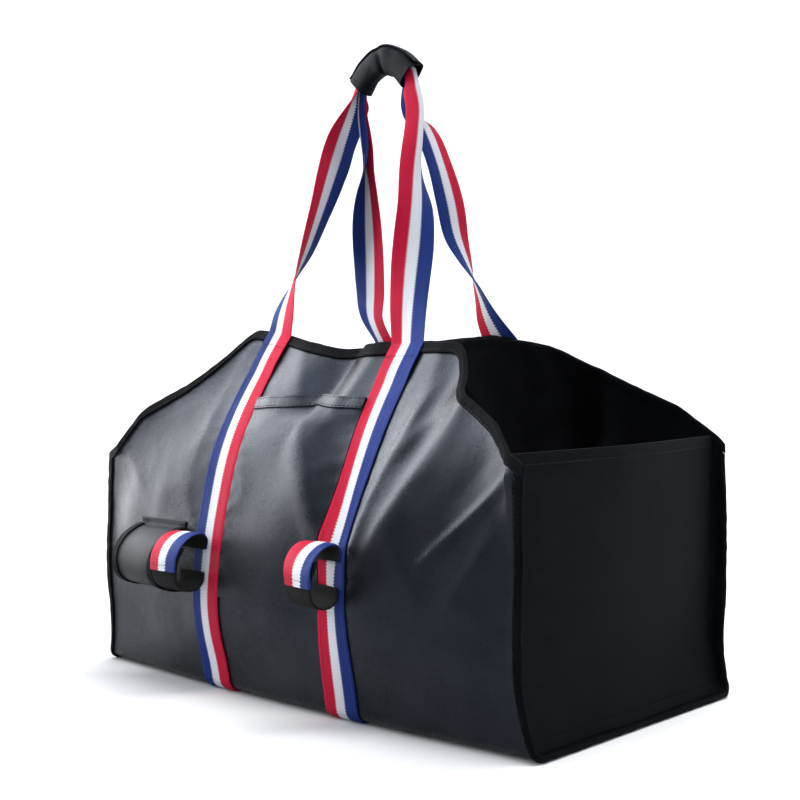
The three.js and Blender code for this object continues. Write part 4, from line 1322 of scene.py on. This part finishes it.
def swell(piece, rows, columns):
    """Blow the padding up a little between its sewn borders, with the side against the webbing held."""
    mesh = piece.data
    rest = np.empty(3 * len(mesh.vertices))
    mesh.vertices.foreach_get("co", rest)
    free = np.zeros((2, rows, columns), bool)
    free[0, SEWN_BORDER:-SEWN_BORDER, SEWN_BORDER:-SEWN_BORDER] = True
    piece.vertex_groups.new(name="sewn").add(np.flatnonzero(~free.ravel()).tolist(), 1.0, "REPLACE")
    padding = piece.modifiers.new("padding", "CLOTH")
    padding.settings.vertex_group_mass = "sewn"
    padding.settings.quality = SWELL_QUALITY
    padding.settings.use_pressure = True
    padding.settings.uniform_pressure_force = SWELL_PRESSURE
    padding.settings.effector_weights.gravity = 0
    padding.point_cache.frame_end = SWELL_FRAMES
    for step in range(1, SWELL_FRAMES + 1):
        bpy.context.scene.frame_set(step)
    swollen = np.empty_like(rest)
    piece.evaluated_get(bpy.context.evaluated_depsgraph_get()).data.vertices.foreach_get("co", swollen)
    piece.modifiers.remove(padding)
    bpy.context.scene.frame_set(1)
    move = (swollen - rest).reshape(-1, 3)
    size = np.linalg.norm(move, axis=1, keepdims=True)
    move *= np.minimum(1.0, SWELL_CAP / np.maximum(size, TINY))
    mesh.vertices.foreach_set("co", rest + move.ravel())
    mesh.update()
    return size.max()


print("padding: moved up to", round(swell(grip, WRAP_ALONG, WRAP_AROUND) / MM, 2), "mm before the cap")

# %% [markdown]
# ## Stitches
# A seam is hundreds of equal stitches, which is work for Geometry Nodes: a line is cut at an even pitch, and
# one bead of thread is laid along the line at each cut. The seam is then made a plain mesh, so it can be
# exported.

# %% A node group that sews along a line
STITCH_INPUTS = (
    ("Line", "NodeSocketGeometry"),
    ("Pitch", "NodeSocketFloat"),
    ("Stitch", "NodeSocketVector"),
    ("Thread", "NodeSocketMaterial"),
)
BEAD = {"Segments": 6, "Rings": 4, "Radius": 0.5}


def sewing_machine():
    tree = bpy.data.node_groups.new("running_stitch", "GeometryNodeTree")
    for name, kind in STITCH_INPUTS:
        tree.interface.new_socket(name=name, in_out="INPUT", socket_type=kind)
    tree.interface.new_socket(name="Seam", in_out="OUTPUT", socket_type="NodeSocketGeometry")
    given = tree.nodes.new("NodeGroupInput").outputs

    def add(kind, settings, inputs):
        return add_node(tree, kind, settings, inputs).outputs[0]

    curve = add("GeometryNodeMeshToCurve", {}, {"Mesh": given["Line"]})
    marks = add("GeometryNodeResampleCurve", {"mode": "LENGTH"}, {"Curve": curve, "Length": given["Pitch"]})
    bead = add("GeometryNodeMeshUVSphere", {}, BEAD)
    tangent = add("GeometryNodeInputTangent", {}, {})
    turn = add("FunctionNodeAlignRotationToVector", {"axis": "X"}, {"Vector": tangent})
    row = add("GeometryNodeInstanceOnPoints", {}, {
        "Points": marks, "Instance": bead, "Rotation": turn, "Scale": given["Stitch"],
    })
    solid = add("GeometryNodeRealizeInstances", {}, {"Geometry": row})
    soft = add("GeometryNodeSetShadeSmooth", {}, {"Geometry": solid})
    dyed = add("GeometryNodeSetMaterial", {}, {"Geometry": soft, "Material": given["Thread"]})
    add_node(tree, "NodeGroupOutput", {}, {"Seam": dyed})
    return tree


SEWING = sewing_machine()
print("sewing: node group with", len(SEWING.nodes), "nodes")

# %% Sew along lines of points
# Each stitch has its pitch and the length, width and height of its bead, in millimetres.
LONG_STITCH = (4.4, (3.4, 0.7, 0.7))
EDGE_STITCH = (4.0, (3.2, 0.6, 0.6))
WRAP_STITCH = (3.4, (2.6, 0.6, 0.6))
LOOP_STITCH = (3.0, (2.4, 0.6, 0.6))
CROSS_STITCH = (2.6, (2.3, 0.7, 0.7))
BARTACK_STITCH = (1.0, (1.1, 0.9, 0.9))


def sew(name, lines, thread, stitch=LONG_STITCH):
    """A seam along lines of points, as one mesh."""
    edges, first = [], 0
    for line in lines:
        edges += [(first + k, first + k + 1) for k in range(len(line) - 1)]
        first += len(line)
    mesh = bpy.data.meshes.new(name)
    mesh.from_pydata(in_place(np.concatenate(lines)).tolist(), edges, [])
    seam = link(name, mesh)
    sewing = seam.modifiers.new("sewing", "NODES")
    sewing.node_group = SEWING
    pitch, bead = stitch
    values = {"Pitch": pitch * MM, "Stitch": [side * MM for side in bead], "Thread": thread}
    for socket in SEWING.interface.items_tree:
        if socket.name in values:
            sewing[socket.identifier] = values[socket.name]
    made = bpy.data.meshes.new_from_object(seam.evaluated_get(bpy.context.evaluated_depsgraph_get()))
    seam.modifiers.clear()
    seam.data = made
    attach(seam, "root")
    return seam


def faces_of(pieces):
    return {piece.name: len(piece.data.polygons) for piece in pieces}


print("stitches: every", LONG_STITCH[0], "mm in the long seams")

# %% Sew the panels and bindings
LINE_STEPS = 160
# How far the middle of a thread stands above the cloth: mostly, on a top edge, and where it is drawn in.
THREAD_PROUD, RIM_PROUD, DRAWN_IN = 0.2, 0.25, 0.1
RIM_SEAM_DROP = RIM_TAPE - 1.8
RIM_SEAM_INSET = 5
FIN_SEAM_ROWS = (0.06, 2.94)
FIN_SEAM_OUT = 4.0
HEM_SEAM_SPAN = (0.04, 0.96)
HEM_SEAM_DROP = END_HEM - 1.5


def rim_seam(face):
    column = np.linspace(-FIN_COLUMN + RIM_SEAM_INSET, FIN_COLUMN - RIM_SEAM_INSET, LINE_STEPS)
    return on_canvas(column, below_rim(face, column, RIM_SEAM_DROP), LAYER_GAP + TAPE + RIM_PROUD)


def fin_seam(side):
    row = np.linspace(*FIN_SEAM_ROWS, 2 * LINE_STEPS)
    return on_canvas(side * (SEAM_FOOT + FIN_SEAM_OUT) + 0 * row, row, LAYER_GAP + TAPE + THREAD_PROUD)


def hem_seam(side):
    front, back = canvas(np.full(2, side * SEAM_FOOT), np.array([FRONT["rim_row"], BACK["rim_row"]]))
    share = np.linspace(*HEM_SEAM_SPAN, LINE_STEPS)
    line = mix(front, back, share[:, None])
    line[:, 2] -= HEM_SEAM_DROP
    bulge = END_BULGE * np.sin(math.pi * share) * ease((line[:, 2] - FLOOR_Z) / FLANK_Z)
    line[:, 0] += side * (bulge + THREAD_PROUD)
    return line


panel_seams = [
    sew("rim_stitches", [rim_seam(FRONT), rim_seam(BACK)], BLACK_THREAD),
    sew("fin_stitches", [fin_seam(-1.0), fin_seam(1.0)], BLACK_THREAD),
]
print("faces of the panel seams:", faces_of(panel_seams))

# %% Sew the webbing to the faces
STRAP_INSET = 2.4
CROSS_BELOW = 13.0
CROSS_INSET = 1.0
CROSS_STEPS = 24
FACE_ROWS = ((0.06, 1.0), (2.94, 2.0))
SIDES = (-1.0, 1.0)


def strap_seam(face_rows, side, edge):
    row = np.linspace(*face_rows, LINE_STEPS)
    column = side * STRAP_X + side * edge * (WEBBING_WIDTH / 2 - STRAP_INSET) + 0 * row
    return on_canvas(column, row, LAYER_GAP + WEBBING + DRAWN_IN)


def cross_seam(face, side):
    column = side * STRAP_X + np.linspace(-1, 1, CROSS_STEPS) * (WEBBING_WIDTH / 2 - CROSS_INSET)
    stand = 2 * LAYER_GAP + TAPE + WEBBING + THREAD_PROUD
    return on_canvas(column, below_rim(face, column, CROSS_BELOW), stand)


blue_lines = [strap_seam(rows, side, 1.0) for rows in FACE_ROWS for side in SIDES]
red_lines = [strap_seam(rows, side, -1.0) for rows in FACE_ROWS for side in SIDES]
cross_lines = [cross_seam(face, side) for face in (FRONT, BACK) for side in SIDES]
strap_seams = [
    sew("blue_edge_stitches", blue_lines, BLUE_THREAD, EDGE_STITCH),
    sew("red_edge_stitches", red_lines, RED_THREAD, EDGE_STITCH),
    sew("cross_stitches", cross_lines, BLACK_THREAD, CROSS_STITCH),
]
print("faces of the strap seams:", faces_of(strap_seams))

# %% Sew the pocket, the sleeve and the loops
PATCH_INSET = 2
POCKET_SEAM_STEPS = 60
POCKET_SEAMS = (POCKET_TOP - POCKET_HEM + 1.4, POCKET_TOP - 1.5, POCKET_LOW + 3)
SLEEVE_SEAM_Z = 159.5
SLEEVE_SEAM_STEPS = 40
SLEEVE_SEAM_STAND = SLEEVE_OUTLINE[1][0] + SLEEVE_CLOTH / 2 + DRAWN_IN
BARTACK = 7.0
BARTACK_INSET = 6
BARTACK_LIFTS = (-1.4, -0.5, 0.5, 1.4)
LOOP_SEAM_INSET = 1.5
LOOP_SEAM_ROW = -5
# Rows and columns of the wrap's grid that its seams follow, along the flap's edge and round both ends.
WRAP_SEAMS = ((slice(2, -2), -5), (3, slice(12, -4)), (-4, slice(12, -4)))


def pocket_seam(z):
    column = np.linspace(-POCKET_HALF + PATCH_INSET, POCKET_HALF - PATCH_INSET, POCKET_SEAM_STEPS)
    height = z + 0 * column
    stand = pocket_layers(column, height)[1] + DRAWN_IN
    return on_canvas(column, front_row(column, height), stand)


def sleeve_seam(x_from, x_to, z):
    column = np.linspace(x_from, x_to, SLEEVE_SEAM_STEPS)
    return canvas(column, front_row(column, z)) - (0.0, SLEEVE_SEAM_STAND, 0.0)


def loop_hem(loop):
    across = np.linspace(-1, 1, CROSS_STEPS) * (WEBBING_WIDTH / 2 - LOOP_SEAM_INSET)
    return loop_grid(TAB_OUTLINE, loop, across, WEBBING / 2 + THREAD_PROUD)[LOOP_SEAM_ROW]


pocket_lines = [pocket_seam(z) for z in POCKET_SEAMS]
sleeve_lines = [sleeve_seam(SLEEVE_LEFT + PATCH_INSET, SLEEVE_RIGHT - PATCH_INSET, SLEEVE_SEAM_Z)]
bartacks = [
    sleeve_seam(x - BARTACK / 2, x + BARTACK / 2, SLEEVE_SEAM_Z + lift)
    for x in (SLEEVE_LEFT + BARTACK_INSET, SLEEVE_RIGHT - BARTACK_INSET) for lift in BARTACK_LIFTS
]
wrap_lines = [wrap_outside[part] for part in WRAP_SEAMS]
small_seams = [
    sew("pocket_stitches", pocket_lines, BLACK_THREAD),
    sew("sleeve_stitches", sleeve_lines, BLACK_THREAD),
    sew("sleeve_bartacks", bartacks, BLACK_THREAD, BARTACK_STITCH),
    sew("loop_stitches", [loop_hem(loop) for loop in LOOPS], BLACK_THREAD, LOOP_STITCH),
    sew("wrap_stitches", wrap_lines, BLACK_THREAD, WRAP_STITCH),
    sew("end_stitches", [hem_seam(-1.0), hem_seam(1.0)], BLACK_THREAD),
]
print("faces of the small seams:", faces_of(small_seams))

# %% [markdown]
# ## What each piece stands for
# Every dressed piece rides on the bag's one body and replaces the plain solid of the same name.

# %% Tie the pieces to the frame
PIECES = {
    "body_panel": (body_panel, "canvas"),
    "end_panel_left": (end_left, "end_canvas"),
    "end_panel_right": (end_right, "end_canvas"),
    "front_webbing": (front_webbing, "webbing"),
    "back_webbing": (back_webbing, "webbing"),
    "front_pocket": (front_pocket, "canvas"),
    "tool_pouch": (sleeve, "canvas"),
    "grip": (grip, "grip_wrap"),
    **{name: (piece, "binding") for name, piece in {**bindings, **sleeve_tapes}.items()},
    **{"tool_loop_" + side: (piece, "webbing") for side, piece in tabs.items()},
    **{"hook_strap_" + side: (piece, "hook_and_loop") for side, piece in hooks.items()},
}
for node, (piece, slot) in PIECES.items():
    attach(piece, "root")
    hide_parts(node)
print("dressed nodes:", len(PIECES), "of", len(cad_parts))

# %% [markdown]
# ## The flat cloth
# Each sheet was cut flat before it was bent and sewn.
